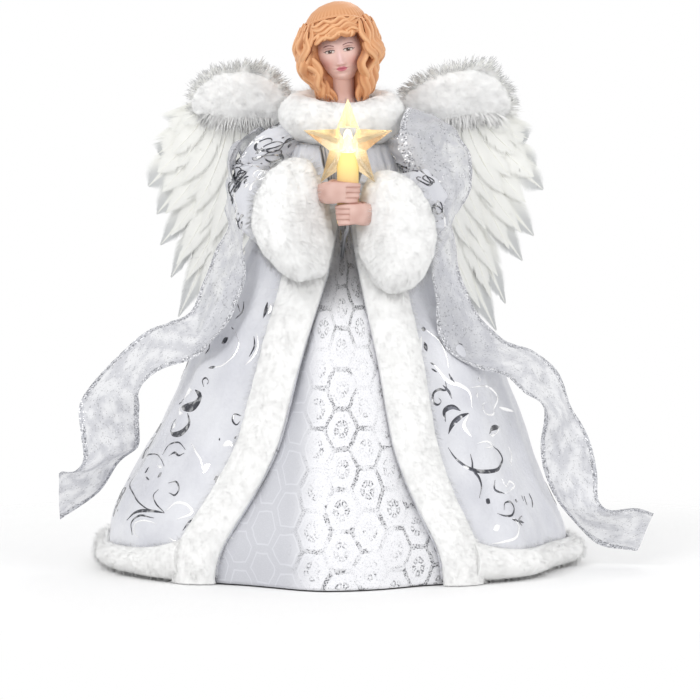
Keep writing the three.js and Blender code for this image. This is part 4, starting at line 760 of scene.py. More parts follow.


# foil scrolls pressed on the satin

# each stroke has its width in mm, its painted reflection from 0 dark to 1 bright, then turns in degrees and
# heights in mm
scrolls = [
    [5.5, 0, -61, 93, -57, 90, -57.5, 86, -62.5, 84, -66.5, 84], [4, 1, -68, 88, -66, 91.5, -62.5, 92.5],
    [1.2, 0, -71, 84.5, -68.5, 87.5], [2, 1, -68.5, 83.5, -65.5, 81, -62.5, 81],
    [3.6, 0, -60, 81.5, -57, 77, -59, 72, -63.5, 70.5, -66.5, 71.5],
    [1.2, 0, -66.5, 71.5, -68.5, 75, -67, 77.5], [3, 1, -66, 73, -65, 76],
    [0.9, 0, -64, 60, -63.5, 64.5, -58.5, 67, -53.5, 64],
    [1.3, 0, -60.5, 60, -58.5, 62, -55.5, 61, -53.5, 62.5],
    [1.1, 0, -60, 55, -64.5, 58.5, -73, 59, -82, 53, -78.5, 45.5, -68.5, 38.5, -58.5, 34.5, -50, 33.5],
    [2, 0, -70, 50, -69.5, 53], [2.4, 0, -60, 49.5, -59.5, 52], [1.2, 0, -67.5, 48.5, -64, 47.5],
    [1.8, 1, -64, 55, -60.5, 54], [0.9, 0, -50, 33.5, -55, 37, -58, 41, -57, 44],
    [1.3, 0, -54.5, 47.5, -51.5, 48.5, -48.5, 45.5, -49, 42.5, -52.5, 43],
    [1.8, 0, -66, 27, -63, 31.5, -57, 33.5, -50, 33.5],
    [1.2, 0, -61, 20.5, -63, 26, -60, 30.5, -53.5, 30.5],
    [1, 1, -57, 20, -60, 22, -61, 26, -58, 28.5, -54, 28.5, -51.5, 27.5],
    [1.6, 1, -50, 34, -47, 39, -43.5, 38.5, -41.5, 35, -45, 31], [1.1, 0, -42.5, 26, -41.5, 30, -40, 33],
    [2, 0, -81, 33.5, -81, 29.5, -76, 30], [1.4, 0, -63, 111, -62, 114, -63.5, 116.5],
    [2.4, 1, -64, 121, -62.5, 118.5], [3, 0, -54.5, 117, -52, 120], [3, 0, -51.5, 124.5, -51.5, 125],
    [1, 1, -49, 123.5, -45, 118.5, -45, 112.5, -48.5, 107, -56.5, 104.5],
    [1.5, 0, -57, 104.5, -52.5, 105.5], [1, 0, -56.5, 95, -58.5, 98, -57, 99.5, -54.5, 98, -55, 96.5],
    [1.2, 0, -35.5, 82.5, -38.5, 83, -38.5, 80, -36.5, 78, -35.5, 80],
    [3.2, 1, -39.5, 67.5, -37.5, 69, -36, 67.5], [1.6, 0, -41.5, 70.5, -41, 70.5],
    [1.8, 0, -36, 72, -35.5, 71.5], [1.2, 0, -35, 61.5, -34.5, 61],
    [3, 1, -42.5, 54, -42.5, 57, -41.5, 58.5], [3.6, 0, -38.5, 51, -37.5, 52, -37, 48],
    [1.6, 0, -37, 41.5, -36, 43, -35, 45.5], [1.8, 1, -38, 123, -36, 117, -37, 111, -39, 107.5],
    [1.4, 0, -39, 121.5, -37.5, 116.5, -38.5, 111.5], [2.6, 0, -37, 130.5, -37, 134.5, -37.5, 138.5],
    [2.4, 1, -35, 133, -35, 137.5], [1.2, 0, -51, 138, -49.5, 133.5, -52, 129.5],
    [1, 0, -55.5, 136.5, -51, 133], [1.4, 1, -52.5, 67.5, -45.5, 61.5, -43, 55.5],
    [1.6, 1, -46, 22, -42.5, 19.5, -38.5, 22],
    [2.2, 0, 35, 67, 37, 61.5, 41, 56, 46, 54, 53.5, 55, 58, 58.5, 57.5, 62.5, 54, 65.5],
    [1.6, 0, 42.5, 63, 42.5, 59, 42, 55.5, 43.5, 51, 43.5, 46.5, 41.5, 41.5],
    [3, 0, 36.5, 73.5, 39, 78, 42.5, 81.5, 46, 83], [2.2, 1, 46, 82.5, 43, 77.5, 44.5, 71.5],
    [3, 0, 53, 72, 56.5, 74, 63.5, 74], [1.4, 1, 52.5, 71.5, 56, 70.5, 63, 73.5],
    [1.6, 0, 40, 99.5, 39.5, 95, 36.5, 95.5, 33.5, 94, 32.5, 90, 34.5, 88, 36.5, 89.5, 35.5, 91.5],
    [1.4, 0, 38.5, 97.5, 40.5, 94, 41, 90.5], [3, 0, 36.5, 79.5, 37, 84.5, 40.5, 86.5, 43, 84.5],
    [1.5, 1, 49, 95.5, 59.5, 95, 69, 92.5, 73, 87.5, 66.5, 82.5, 59, 80.5, 54.5, 83, 55.5, 86, 59, 87],
    [2, 1, 35.5, 109, 38, 105.5, 41, 99.5, 45.5, 97, 49, 92.5, 48, 85.5], [1.1, 0, 34.5, 109, 37, 107.5],
    [1.1, 0, 34.5, 106, 37, 104], [1.2, 0, 49, 49.5, 48, 45, 51, 42.5],
    [1.4, 1, 51, 42.5, 56, 43.5, 59.5, 45, 57.5, 47.5, 54, 45.5, 52.5, 49.5],
    [1.5, 0, 48.5, 35, 49.5, 38, 52.5, 38, 53, 35, 50.5, 32, 48, 32, 46, 33.5],
    [3.4, 0, 44, 40.5, 45, 38.5], [2, 0, 56, 38.5, 57, 37.5], [1.4, 0, 53, 29, 56.5, 27],
    [1.4, 0, 53, 29, 56.5, 30.5], [1.4, 0, 50, 30, 53, 28.5], [1.4, 0, 53, 28.5, 54.5, 26],
    [1.5, 1, 50.5, 30.5, 52, 26.5, 49.5, 21.5, 45, 19.5, 41, 19], [3.6, 1, 43, 25.5, 45.5, 27.5],
    [2, 0, 71.5, 39, 71.5, 35.5, 68.5, 32.5], [1.4, 0, 66.5, 38.5, 64.5, 34.5],
    [1.2, 1, 46, 68, 50.5, 68.5, 53, 66, 48.5, 65.5], [2.6, 0, 35, 125.5, 37.5, 125],
    [1.2, 1, 37.5, 125, 42, 119.5, 43, 111.5, 42.5, 106], [3, 0, 34.5, 119, 34.5, 114.5],
    [2.4, 1, 34, 122, 32, 117.5, 31, 112], [1.6, 1, 46, 117, 54.5, 117, 57.5, 111.5, 56.5, 105],
    [1.4, 0, 50.5, 118, 57.5, 114, 59, 108], [3.2, 1, 57, 99, 58.5, 98.5], [3, 1, 52.5, 91.5, 53.5, 91],
    [1.2, 0, 42, 103, 42.5, 100.5, 43.5, 98], [1.4, 1, 28.5, 87.5, 29.5, 83, 28.5, 78.5],
    [1.6, 1, 33.5, 30.5, 35, 23.5, 37.5, 21], [1.2, 0, 62.5, 39.5, 62, 37],
    [1.6, 1, 69, 63, 69.5, 58.5, 65, 54.5, 63.5, 57], [1.8, 1, 71.5, 83, 80.5, 79.5],
]


# the tendrils of a scroll: length and width in mm, heading, then how the heading turns and curls on the way
tendrils = [[34, 1.5, 0.0, 0.02, 0.0065], [22, 1.2, 1.1, -0.03, -0.013], [15, 1.0, -0.9, 0.05, 0.02],
            [9, 2.8, 2.6, 0.05, 0.02], [5, 3.0, 2.0, 0.1, 0.01], [1.4, 1.8, -1.7, 0, 0]]


class Foil:  # gathers domed strokes that follow a surface
    def __init__(self, skin, across, lift=0.3):
        self.skin, self.across, self.lift = skin, across, lift
        self.points, self.faces, self.tones, self.count = [], [], [], 0

    def stroke(self, places, width, value):  # places are surface coordinates: turn and height; value is the stroke's painted reflection
        at = np.array(places, float)
        metric = np.stack([at[:, 0] * self.across(at[:, 1]), at[:, 1]], -1)
        line = Curve(np.concatenate([metric, 0 * metric[:, :1]], 1))
        steps = max(4, int(line.length / 0.8))
        share = np.linspace(0, 1, steps + 1)
        flat, ahead = line.at(share)[:, :2], line.ahead(share, 0.02)[:, :2]
        reach = width / 2 * np.sin((0.02 + share * 0.96) * math.pi) ** 0.85
        side = np.stack([-ahead[:, 1], ahead[:, 0]], -1) * reach[:, None]
        lanes = flat[:, None] + side[:, None] * np.array([-1, 0, 1])[None, :, None]
        height = lanes[..., 1]
        rise = self.lift * np.array([0.1, 1, 0.1])[None]
        grid = self.skin(lanes[..., 0] / self.across(height), height, rise)
        faces = gridFaces(steps + 1, 3) + self.count
        self.points.append(grid.reshape(-1, 3))
        self.faces.append(faces)
        self.tones += [[value, 0]] * (len(faces) * 4)
        self.count += grid.size // 3

    def scroll(self, turn, height, size, lean, hand, value):  # a branching scroll of curling tendrils
        for length, width, start, first, curl in tendrils:
            far = np.linspace(0, length, 14) * size
            heading = lean + hand * (start + (first * far + curl * far ** 2) / size)
            step = far[1]
            u = np.concatenate([[0], np.cumsum(np.cos(heading[:-1]) * step)])
            v = np.concatenate([[0], np.cumsum(np.sin(heading[:-1]) * step)])
            if length < 6:
                u, v = u + 7 * size * math.cos(lean + start), v + 7 * size * math.sin(lean + start)
            places = np.stack([turn + u / self.across(height), height + v], -1)
            self.stroke(places, width * (0.5 + size / 2), value)

    def mesh(self, name):
        faces = np.vstack(self.faces)
        return makeMesh(name, np.vstack(self.points), faces, foil, np.array(self.tones))


foilRows = {
    "heights": [34, 66, 98, 130, 160, 186], "apart": 36.0, "clearOpening": 20.0,
    "drawnTurn": 1.62, "drawnHeight": 150.0,  # in front and below these only the strokes above are laid
}


def makeRobeFoil():
    work = Foil(robeSkin, robeAcross)
    for width, value, *places in scrolls:
        at = np.array(places).reshape(-1, 2)
        work.stroke(np.stack([np.radians(at[:, 0]), at[:, 1]], -1), width * 0.9, value)
    rng = np.random.default_rng(12)
    for row, height in enumerate(foilRows["heights"]):
        around = int(fullTurn * float(robeAcross(height)) / foilRows["apart"])
        for k in range(around):
            turn = (k + 0.5 * (row % 2)) / around * fullTurn + rng.uniform(-0.04, 0.04)
            place = height + rng.uniform(-4, 4)
            size, lean, hand = rng.uniform(0.7, 1.0), rng.uniform(0, 6.28), rng.choice([-1, 1])
            # each scroll's painted reflection: dark, middling or bright
            value = rng.choice([0.0, 0.3, 1.0])
            clear = foilRows["drawnTurn"]
            if height >= foilRows["drawnHeight"]:
                clear = trimMiddle(1, place) + foilRows["clearOpening"] / float(robeAcross(place))
            if clear < turn < fullTurn - clear:
                work.scroll(turn, place, size, lean, hand, value)
    return work.mesh("robe_foil")


robeFoil = makeRobeFoil()
print("stage: foil")


# fur trims: a lumpy backing strip with the pile grown on it

def stripBase(name, place, rows, columns, seed):  # the closed strip that pile grows on
    u, v = np.meshgrid(np.linspace(0, 1, rows), np.linspace(0, 1, columns), indexing="ij")
    outer = place(u, v, np.sin(v * math.pi) ** 0.6)
    inner = place(u, v, -0.05 + 0 * v)
    tufts = lumps(outer, [[9.0, seed, 0.7], [3.4, seed + 3, 0.5], [1.7, seed + 5, 0.22]])
    outer = outer + unit(outer - inner) * tufts[..., None]
    return outwards(closedLoft(name, np.concatenate([outer, inner[:, ::-1][:, 1:-1]], 1)))


# strands in a square millimetre, then their length and width in mm
trimPile = {"density": 0.65, "length": 3.8, "width": 0.13}
collarPile = {"density": 0.55, "length": 4.8, "width": 0.12}
cuffPile = {"density": 0.5, "length": 5.5, "width": 0.12}


def makeFrontTrim(side, name):
    def place(u, v, dome):
        height = robeCut["height"] * robeCut["trimTop"] * u
        reach = np.maximum(height, robeCut["hemLift"])
        across = (v - 0.5) * turnAcross(robeCut["trimWidth"] * 0.9, reach)
        lift = robeCut["trimFoot"] + robeCut["trimDome"] * dome
        return robePoint(trimMiddle(side, reach) + across, height, lift)

    base = stripBase(name, place, 260, 40, side)
    places = placesOf(base)
    line = robePoint(trimMiddle(side, places[:, 2]), places[:, 2], 0)
    comb = unit(places - line) * 0.5 + [0, 0, -0.5]
    return growPile(base, name + "_plush", fur, comb, **trimPile, seed=5 + side)


def makeHemTrim():
    edge = turnAcross(robeCut["trimWidth"] / 2, robeCut["hemLift"])
    start = trimMiddle(1, robeCut["hemLift"]) + edge * 0.35
    end = fullTurn + trimMiddle(-1, robeCut["hemLift"]) - edge * 0.35

    def place(u, v, dome):  # the band swells upward where it meets the front trims
        near = np.exp(-u * 34) + np.exp(-(1 - u) * 34)
        height = mix(1.0, robeCut["hemBand"] - 1.0 + robeCut["hemJoin"] * near, v)
        return robePoint(mix(start, end, u), height, robeCut["trimFoot"] + robeCut["hemDome"] * dome)

    base = stripBase("hem", place, 620, 26, 4)
    comb = np.tile([0, 0, -0.5], (len(base.data.vertices), 1))
    return growPile(base, "hem_plush", fur, comb, **trimPile, seed=9)


leftTrim = makeFrontTrim(1, "left_front_trim")
rightTrim = makeFrontTrim(-1, "right_front_trim")
hemTrim = makeHemTrim()

bust = {"torsoFoot": 186.35, "torsoTop": 230.35, "headMiddle": 263.68, "tiltDeg": 9.0, "headHeight": 31.0,
        "headWidth": 25.0, "headDepth": 28.0}
collarCut = {"halfWidth": 22.0, "halfDepth": 13.5, "height": 229.5, "sideRise": 1.5, "frontDip": 3.0,
             "tubeRadius": 12.6, "tubeHeight": 13.6, "pileRoom": (1.8, 2.0)}


def makeCollar():
    rows, columns = 260, 90
    turn = turns(rows)[:, None]
    around = ((np.arange(columns) + 0.5) / columns * fullTurn)[None, :]
    height = collarCut["height"] + collarCut["sideRise"] * np.abs(np.sin(turn))
    height = height - collarCut["frontDip"] * np.cos(turn)
    centre = stacked(collarCut["halfWidth"] * np.sin(turn), -collarCut["halfDepth"] * np.cos(turn), height)
    radius = collarCut["tubeRadius"] - collarCut["pileRoom"][0]
    tall = collarCut["tubeHeight"] - collarCut["pileRoom"][1]
    grid = centre + outAt(turn) * radius * np.cos(around)[..., None]
    grid = grid + point(0, 0, 1) * (tall * np.sin(around))[..., None]
    tufts = lumps(grid, [[9.0, 6, 0.8], [3.4, 8, 0.5], [1.7, 9, 0.22]])
    grid = grid + unit(grid - centre) * tufts[..., None]
    base = outwards(gridMesh("collar", grid, ringRows=True, ringColumns=True))
    comb = unit(placesOf(base) * [1, 1, 0]) * 0.5 + [0, 0, -0.5]
    return growPile(base, "collar_plush", fur, comb, **collarPile, seed=21)


arm = {
    "root": point(23, 0, bust["torsoTop"] - 9), "elbow": point(51, -11, bust["torsoTop"] - 38),
    "upper": 10.5, "elbowRadius": 12.0, "drawnIn": 3.5, "mouth": (8.5, 21.0), "patternRadius": 13.0,
    "wide": [[0, 0.78], [0.22, 0.95], [0.5, 0.95], [0.75, 1.0], [1, 0.9]],
    "thickness": 0.8, "foilRows": [9, 20, 31, 42, 53, 64], "foilAround": 5, "foilLift": 0.55,
    "cuffMiddle": point(26, -57, 182), "cuffAhead": point(-0.72, -0.62, 0.04),
    "cuffRise": point(-0.3, 0.38, 1), "cuffLength": 31.0, "cuffPileRoom": 1.6,
    # by side: -1 is the doll's right arm, 1 its left
    "cuffHalf": {-1: (21.8, 34.0), 1: (22.0, 34.0)}, "cuffSag": {-1: 15.0, 1: 5.0},
    "cuffFlare": {-1: 0.5, 1: 0.28}, "cuffShift": {-1: point(-2, 0, -0.5), 1: point(2, 0, -6.5)},
}
mouthMiddle = arm["cuffMiddle"] + arm["cuffAhead"] * arm["cuffLength"] * 0.1
bent = arm["elbow"] - [arm["drawnIn"], 0, 0]
sleeveCurve = Curve([
    arm["root"],
    mix(arm["root"], bent, 0.42) + [arm["upper"] * 0.2, 0, arm["upper"] * 0.45],
    bent + [-arm["elbowRadius"] * 0.1, 5.5, arm["elbowRadius"] * 0.5],
    mix(bent, mouthMiddle, 0.3) + [arm["elbowRadius"] * 0.35, -2.2, 0],
    mix(bent, mouthMiddle, 0.66) + [arm["elbowRadius"] * 0.3, -2.2, 0],
    mouthMiddle,
])


def sleevePoint(share, turn, grow=0.0):
    share, turn = np.broadcast_arrays(np.asarray(share, float), np.asarray(turn, float))
    centre, ahead = sleeveCurve.at(share), sleeveCurve.ahead(share)
    lean = smooth(share)[..., None]
    up = unit(np.concatenate([arm["cuffRise"][:2] * lean, np.ones_like(lean)], -1))
    across = unit(np.cross(ahead, up))
    rise = unit(np.cross(across, ahead))
    tall = (arm["elbowRadius"] - 1) * along(arm["wide"], share)
    wide = mix(arm["upper"] * along(arm["wide"], share), arm["mouth"][0], smooth(share)) + grow
    high = mix(tall, arm["mouth"][1], smooth(share) ** 1.5) + grow
    return centre + across * (wide * np.cos(turn))[..., None] + rise * (high * np.sin(turn))[..., None]


def sleeveSkin(side):
    def skin(turn, share, lift=0.0):  # the sleeve's outer face with its wrinkles
        share = np.clip(share / sleeveCurve.length, 0, 1)
        drape = 0.7 * np.sin(5 * turn + 9 * share) + 0.5 * np.sin(9 * turn - 6 * share + 1)
        crush = 1.1 * bump(share - 0.42, 0.16) * np.sin(34 * share + 2.0 * np.sin(turn))
        return mirrored(sleevePoint(share, turn, drape * 0.7 + crush - 0.3 + lift), side)
    return skin


def makeSleeve(side, name):
    far = np.linspace(0, sleeveCurve.length, 70)[None, :]
    turn = turns(90)[:, None]
    uv = stacked(withSeam(turn) * arm["patternRadius"], far)
    piece = gridMesh(name, sleeveSkin(side)(turn, far), satin, uv, ringRows=True, flip=side < 0)
    thicken(outwards(piece), arm["thickness"])
    def sleeveAcross(height):
        return arm["patternRadius"] + 0 * np.asarray(height)

    work = Foil(sleeveSkin(side), sleeveAcross, arm["foilLift"])
    rng = np.random.default_rng(8 + side)
    for far in arm["foilRows"]:
        for k in range(arm["foilAround"]):
            around = (k + rng.uniform(-0.3, 0.3)) / arm["foilAround"] * fullTurn
            height, size, lean = far + rng.uniform(-3, 3), rng.uniform(0.5, 0.75), rng.uniform(0, 6.28)
            # each scroll's painted reflection: dark, faint or bright
            work.scroll(around, height, size, lean, rng.choice([-1, 1]), rng.choice([0.0, 0.1, 0.9]))
    return piece, work.mesh(name + "_foil")


def makeCuff(side, name):  # a fat fur puff that closes round the wrist, wider below
    centre = mirrored(arm["cuffMiddle"], side) + arm["cuffShift"][side]
    ahead = unit(mirrored(arm["cuffAhead"], side))
    across = unit(np.cross(ahead, unit(mirrored(arm["cuffRise"], side))))
    rise = unit(np.cross(across, ahead))
    turn = turns(200)[None, :]
    slope = np.linspace(-1.5, 1.5, 90)[:, None]  # from one end of the puff to the other
    ring, low = np.cos(slope) ** 0.7, 0.5 - 0.5 * np.sin(turn)
    wide, high = [half - arm["cuffPileRoom"] for half in arm["cuffHalf"][side]]
    flare = wide * (1 + arm["cuffFlare"][side] * low) * ring * np.cos(turn)
    sag = arm["cuffLength"] * 0.48 * np.sin(slope) + arm["cuffSag"][side] * low ** 1.5 * ring
    grid = (centre + across * flare[..., None] + rise * (high * ring * np.sin(turn))[..., None]
            + ahead * sag[..., None])
    tufts = lumps(grid, [[9.0, 12 + side, 1.3], [3.6, 14, 0.7], [1.7, 16, 0.25]])
    grid = grid + unit(grid - centre) * tufts[..., None]
    base = outwards(closedLoft(name, grid))
    comb = unit(placesOf(base) - centre) * 0.35 + ahead * 0.25 + [0, 0, -0.35]
    return growPile(base, name, fur, comb, **cuffPile, seed=31 + side, tuftSize=8)


collarPiece = makeCollar()
sleevePieces = [makeSleeve(1, "left_sleeve_satin"), makeSleeve(-1, "right_sleeve_satin")]
cuffPieces = [makeCuff(1, "left_cuff_plush"), makeCuff(-1, "right_cuff_plush")]
print("stage: fur trims and sleeves")

# sheer ribbon worn as a stole

# from the doll's right tail, over the back, to its left tail: one long edge then the other, in mm
ribbonRows = [
    [-145, -30, 49, -145, -22, 25], [-141, -34, 50, -125, -16, 38], [-137, -34, 51, -115, -10, 52],
    [-133, -30, 55, -105, -14, 60], [-134, -22, 69, -104, -20, 70], [-135, -16, 84, -104, -26, 81],
    [-121, -14, 101, -104, -36, 91], [-106, -16, 117, -102, -36, 95], [-95, -16, 124, -89, -38, 104],
    [-88, -18, 126, -76, -42, 110], [-82, -24, 128, -66, -52, 118], [-76, -30, 136, -56, -54, 131],
    [-68, -26, 154, -50, -48, 150], [-60, -12, 173, -50, -38, 171], [-60, 4, 187, -53, -27, 187],
    [-60, 14, 201, -55, -16, 204], [-56, 20, 213, -46, 0, 224], [-47, 28, 196, -38, 20, 221],
    [-27, 40, 158, -24, 33, 193], [0, 45, 150, 0, 38, 186], [27, 40, 158, 24, 33, 193],
    [46, 28, 198, 34, 20, 224], [56, 14, 222, 35, 6, 236], [62, -2, 220, 29, -20, 224],
    [66, -8, 209, 32, -29, 208], [65, -16, 196, 45, -33, 195], [60, -20, 184, 50, -35, 184],
    [57, -22, 174, 48, -38, 172], [60, -26, 153, 46, -48, 152], [69, -27, 133, 48, -54, 132],
    [77, -26, 121, 54, -56, 114], [89, -20, 115, 70, -48, 104], [100, -16, 110, 86, -40, 99],
    [109, -14, 101, 95, -36, 90], [119, -14, 82, 103, -34, 82], [128, -16, 62, 102, -22, 63],
    [131, -18, 48, 104, -20, 48], [132, -24, 33, 113, -18, 30], [137, -28, 31, 124, -14, 17],
    [149, -28, 31, 134, -14, 10], [160, -26, 28, 152, -14, 8],
]


def makeStole():
    table = np.array(ribbonRows, float)
    edges = [Curve(table[:, :3]), Curve(table[:, 3:])]
    steps, lanes = 520, 20
    share = np.linspace(0, 1, steps + 1)
    first, second = [edge.atRaw(share) for edge in edges]
    lane = np.linspace(0, 1, lanes)[None, :]
    grid = first[:, None] * (1 - lane[..., None]) + second[:, None] * lane[..., None]
    middle = grid.mean(1)
    normal = unit(np.cross(unit(np.gradient(middle, axis=0)), unit(second - first)))
    far = np.concatenate([[0], np.cumsum(np.linalg.norm(np.diff(middle, axis=0), axis=1))])[:, None]
    wave = np.sin(far / 7 + 4 * lane) + 0.7 * np.sin(far / 4.1 - 7 * lane)
    crush = lumps(grid, [[11.0, 31, 1.0], [5.0, 33, 0.5]])
    over = bump(middle[:, 2:] - 205, 24)  # most where the ribbon lies over the shoulders
    puff = np.sin(lane * math.pi) * over * smooth(middle[:, :1] / 20) * ribbonCut["puff"]
    folds = np.sin(9 * lane + far / 16 + 1.5 * crush) * ribbonCut["folds"]
    swell = wave * ribbonCut["ripple"] + over * (crush * ribbonCut["crush"] + folds) - puff
    grid = grid + normal[:, None] * swell[..., None]
    uv = stacked(far, (lane - 0.5) * ribbonCut["width"])
    return gridMesh("ribbon_organza", grid, organza, uv), far[-1, 0]


stolePiece, stoleLength = makeStole()
print("stage: ribbon", round(stoleLength))

# wings

wing = {"hinge": (9.0, 30.575), "rootOut": 28.0, "sweepDeg": 13.0, "leanDeg": 12.0, "reach": 66.0,
        "drop": 122.0, "fanTop": 229.0, "bow": 7.0, "featherTilt": 0.085, "barbPitch": 0.5,
        # each row of feathers: its name, share of the full length, layer, width and step
        "rows": [["primaries", 1.0, -4.4, 20, 1.0], ["secondaries", 0.86, -6.4, 15, 0.8],
                 ["coverts", 0.62, -7.9, 12, 0.8]]}
# where the long feathers of a wing laid flat end and start, from the outermost to the innermost, in mm
featherTips = {-1: [[52, -5], [61.3, -20.7], [68, -38.9], [65.3, -55.3], [64.3, -72.5], [60.3, -91.9],
                    [56.9, -111.5], [47, -121], [36, -122], [24, -114], [12, -100]],
               1: [[60.6, -11.5], [66.5, -27], [71.1, -39.6], [67.9, -64.8], [64.3, -82], [56.1, -104.1],
                   [52.5, -120.5], [43, -123], [33, -121], [23, -114], [12, -100]]}
featherRoots = [[31, 12], [30, 11], [27, 11], [24, 11], [21, 11], [18, 11], [15, 11], [11, 10], [7, 9],
                [3, 8], [-2, 6]]


def ontoWing(points, side):  # from the flat drawing of a wing to its place on the doll
    placed = np.array(points, float)
    placed[..., 1] += wing["bow"] * (placed[..., 0] ** 2 + placed[..., 2] ** 2) / wing["drop"] ** 2
    turn, lean = math.radians(wing["sweepDeg"]), math.radians(wing["leanDeg"])
    back = wing["hinge"][1] + math.tan(turn) * wing["rootOut"] + 1
    place = (Matrix.Translation((wing["hinge"][0] + wing["rootOut"], back, wing["fanTop"]))
             @ Matrix.Rotation(turn, 4, "Z") @ Matrix.Rotation(lean, 4, "X"))
    matrix = np.array(place)
    return mirrored(placed @ matrix[:3, :3].T + matrix[:3, 3], side)


def vaneFinish(name, greyShare):
    vane = Finish(name, "fdfdf7", 0.62, Sheen_Weight=0.2, Sheen_Roughness=0.5)
    share, edge, _ = vane.parts(vane.uv())  # 0 at a feather's root and shaft, 1 at its tip and edge
    grey = vane.times(vane.step(share, 0.6, 0.9), vane.step(edge, 0.02, 0.35))
    colour = vane.shade(vane.times(vane.step(edge, 0.5, 1.0), 0.25), "fefef9", "f1f2ee")
    vane.set("Base Color", vane.shade(vane.times(grey, greyShare), colour, "c4c6c7"))
    return vane


longVane, coverVane = vaneFinish("long feather vane", 0.85), vaneFinish("cover feather vane", 0.12)
shaftWhite = Finish("feather shaft", "fefdf8", 0.4)
shaftWhite.mottle("fefefa", "f6f5ea", 300.0)
vaneWidth = [[0, 0.3], [0.1, 0.45], [0.3, 0.85], [0.48, 1], [0.64, 0.92], [0.8, 0.6], [0.92, 0.24], [1, 0.02]]


def featherParts(root, tip, width, layer, rng):
    length = np.linalg.norm(tip - root)
    ahead = (tip - root) / length
    across = point(-ahead[2], 0, ahead[0])
    bendOut = -length * rng.uniform(0.04, 0.09)

    def spine(s):
        s = np.asarray(s, float)[..., None]
        return root + (tip - root) * s + across * bendOut * np.sin(s * math.pi) + point(0, layer, 0)

    share = np.linspace(0, 1, 15)
    turn = turns(4)[:, None]
    ring = across * np.cos(turn) + point(0, 1, 0) * np.sin(turn)
    shaft = spine(share)[:, None] + ring[None] * mix(0.55, 0.1, share)[:, None, None]
    count = max(20, int(length * 0.96 / wing["barbPitch"]))
    blades, bladeUv = [], []
    for hand in (-1, 1):
        s = np.sort(mix(0.04, 0.995, (np.arange(count) + rng.uniform(-0.2, 0.2, count)) / count))
        half = width / 2 * along(vaneWidth, s) * rng.uniform(0.96, 1.03, count)
        ragged = clouds(stacked(s * 22, hand, layer), 1.6, rng.uniform(0, 9))
        half = half * (1 - 0.22 * smooth((ragged - 0.3) * 8))
        direction = unit(spine(s + 0.02) - spine(s - 0.02))
        outward = hand * np.cross(direction, point(0, 1, 0))
        lift = hand * wing["featherTilt"] * half[:, None] * point(0, 1, 0)
        foot, out = spine(s), half[:, None]
        sweep = mix(0.9, 1.7, s)[:, None] * out
        middle = foot + outward * out * 0.6 + direction * sweep * 0.42 + lift * 0.6
        end = foot + outward * out + direction * sweep + lift
        wide = direction * wing["barbPitch"] * 1.15
        five = np.stack([foot - wide, foot + wide, middle + wide * 1.1, middle - wide * 0.9, end], 1)
        five[:, :, 1] += rng.uniform(-0.03, 0.03, (count, 1))
        blades.append(five)
        bladeUv.append(stacked(s[:, None], [0, 0, 0.6, 0.6, 1.0]))
    return shaft, np.vstack(blades), np.vstack(bladeUv)


def featherRow(name, side, vane, seed, reach, layer, width, step):
    rng = np.random.default_rng(seed)
    blades, shafts, faces, shaftFaces, corners = [], [], [], [], []
    table = np.hstack([np.array(featherRoots, float), np.array(featherTips[side], float)])
    places = np.arange(0 if step == 1 else 0.3, len(table) - 1 + 0.1, step)
    for i, at in enumerate(places):
        x0, z0, x1, z1 = [np.interp(at, np.arange(len(table)), table[:, k]) for k in range(4)]
        root, tip = point(x0, 0, z0), point(x1, 0, z1)
        tip = root + (tip - root) * reach * rng.uniform(0.96, 1.03)
        depth = layer + 0.6 * (i % 2) + rng.uniform(-0.1, 0.1)
        shaft, blade, uv = featherParts(root, tip, width * rng.uniform(0.92, 1.05), depth, rng)
        first = sum(len(b) for b in blades) * 5
        half = len(blade) // 2
        for hand, part in ((-1, slice(0, half)), (1, slice(half, 2 * half))):
            order = np.arange(len(blade))[part, None] * 5 + first
            for corner in ([0, 1, 2, 3], [3, 2, 4]):
                corner = corner if hand * side > 0 else corner[::-1]
                faces += (order + [corner]).tolist()
                corners.append(uv[part][:, corner].reshape(-1, 2))
        shaftFaces += (gridFaces(len(shaft), 4, ringColumns=True) + len(shafts) * len(shaft) * 4).tolist()
        blades.append(blade)
        shafts.append(shaft.reshape(-1, 3))
    points = ontoWing(np.vstack(blades).reshape(-1, 3), side)
    soft = ontoWing(np.vstack(blades).reshape(-1, 3) + [0, -1, 0], side) - points
    vanes = makeMesh(name, points, faces, vane, np.concatenate(corners))
    vanes.data.normals_split_custom_set_from_vertices(unit(soft))
    shaftPoints = ontoWing(np.vstack(shafts), side)
    return joinPieces(name, [vanes, makeMesh(name + "_shafts", shaftPoints, shaftFaces, shaftWhite)])


fluff = {
    # along the wing's upper edge, in mm: where the down's middle lies, how far it goes up and down, its rim
    "middle": {-1: [[-14, 6], [0, 11], [14, 14], [26, 13], [34, 9], [38, 4]],
               1: [[-10, 6], [3, 10], [18, 14], [32, 15], [43, 10], [48, 3]]},
    "up": [[0, 5], [0.25, 11.5], [0.5, 12.5], [0.75, 9.5], [0.9, 6], [1, 2]],
    "down": [[0, 7], [0.25, 12], [0.5, 14], [0.75, 13], [0.9, 10], [1, 5]],
    "rim": {-1: [[-12, 11], [-6, 20], [2, 26.5], [16, 26.5], [30, 20.5], [36.5, 12], [38, 5]],
            1: [[-8, 11], [-2, 18], [11, 23.5], [25, 27], [36, 26.5], [43, 18], [48, 7], [48, 3]]},
    "layer": -10.2,
    "pile": {"density": 0.9, "length": 5.5, "width": 0.08},
    "lowBarbs": {"density": 0.9, "length": 10.5, "width": 0.55},
    "highBarbs": {"density": 0.42, "length": 6.5, "width": 0.45},
}


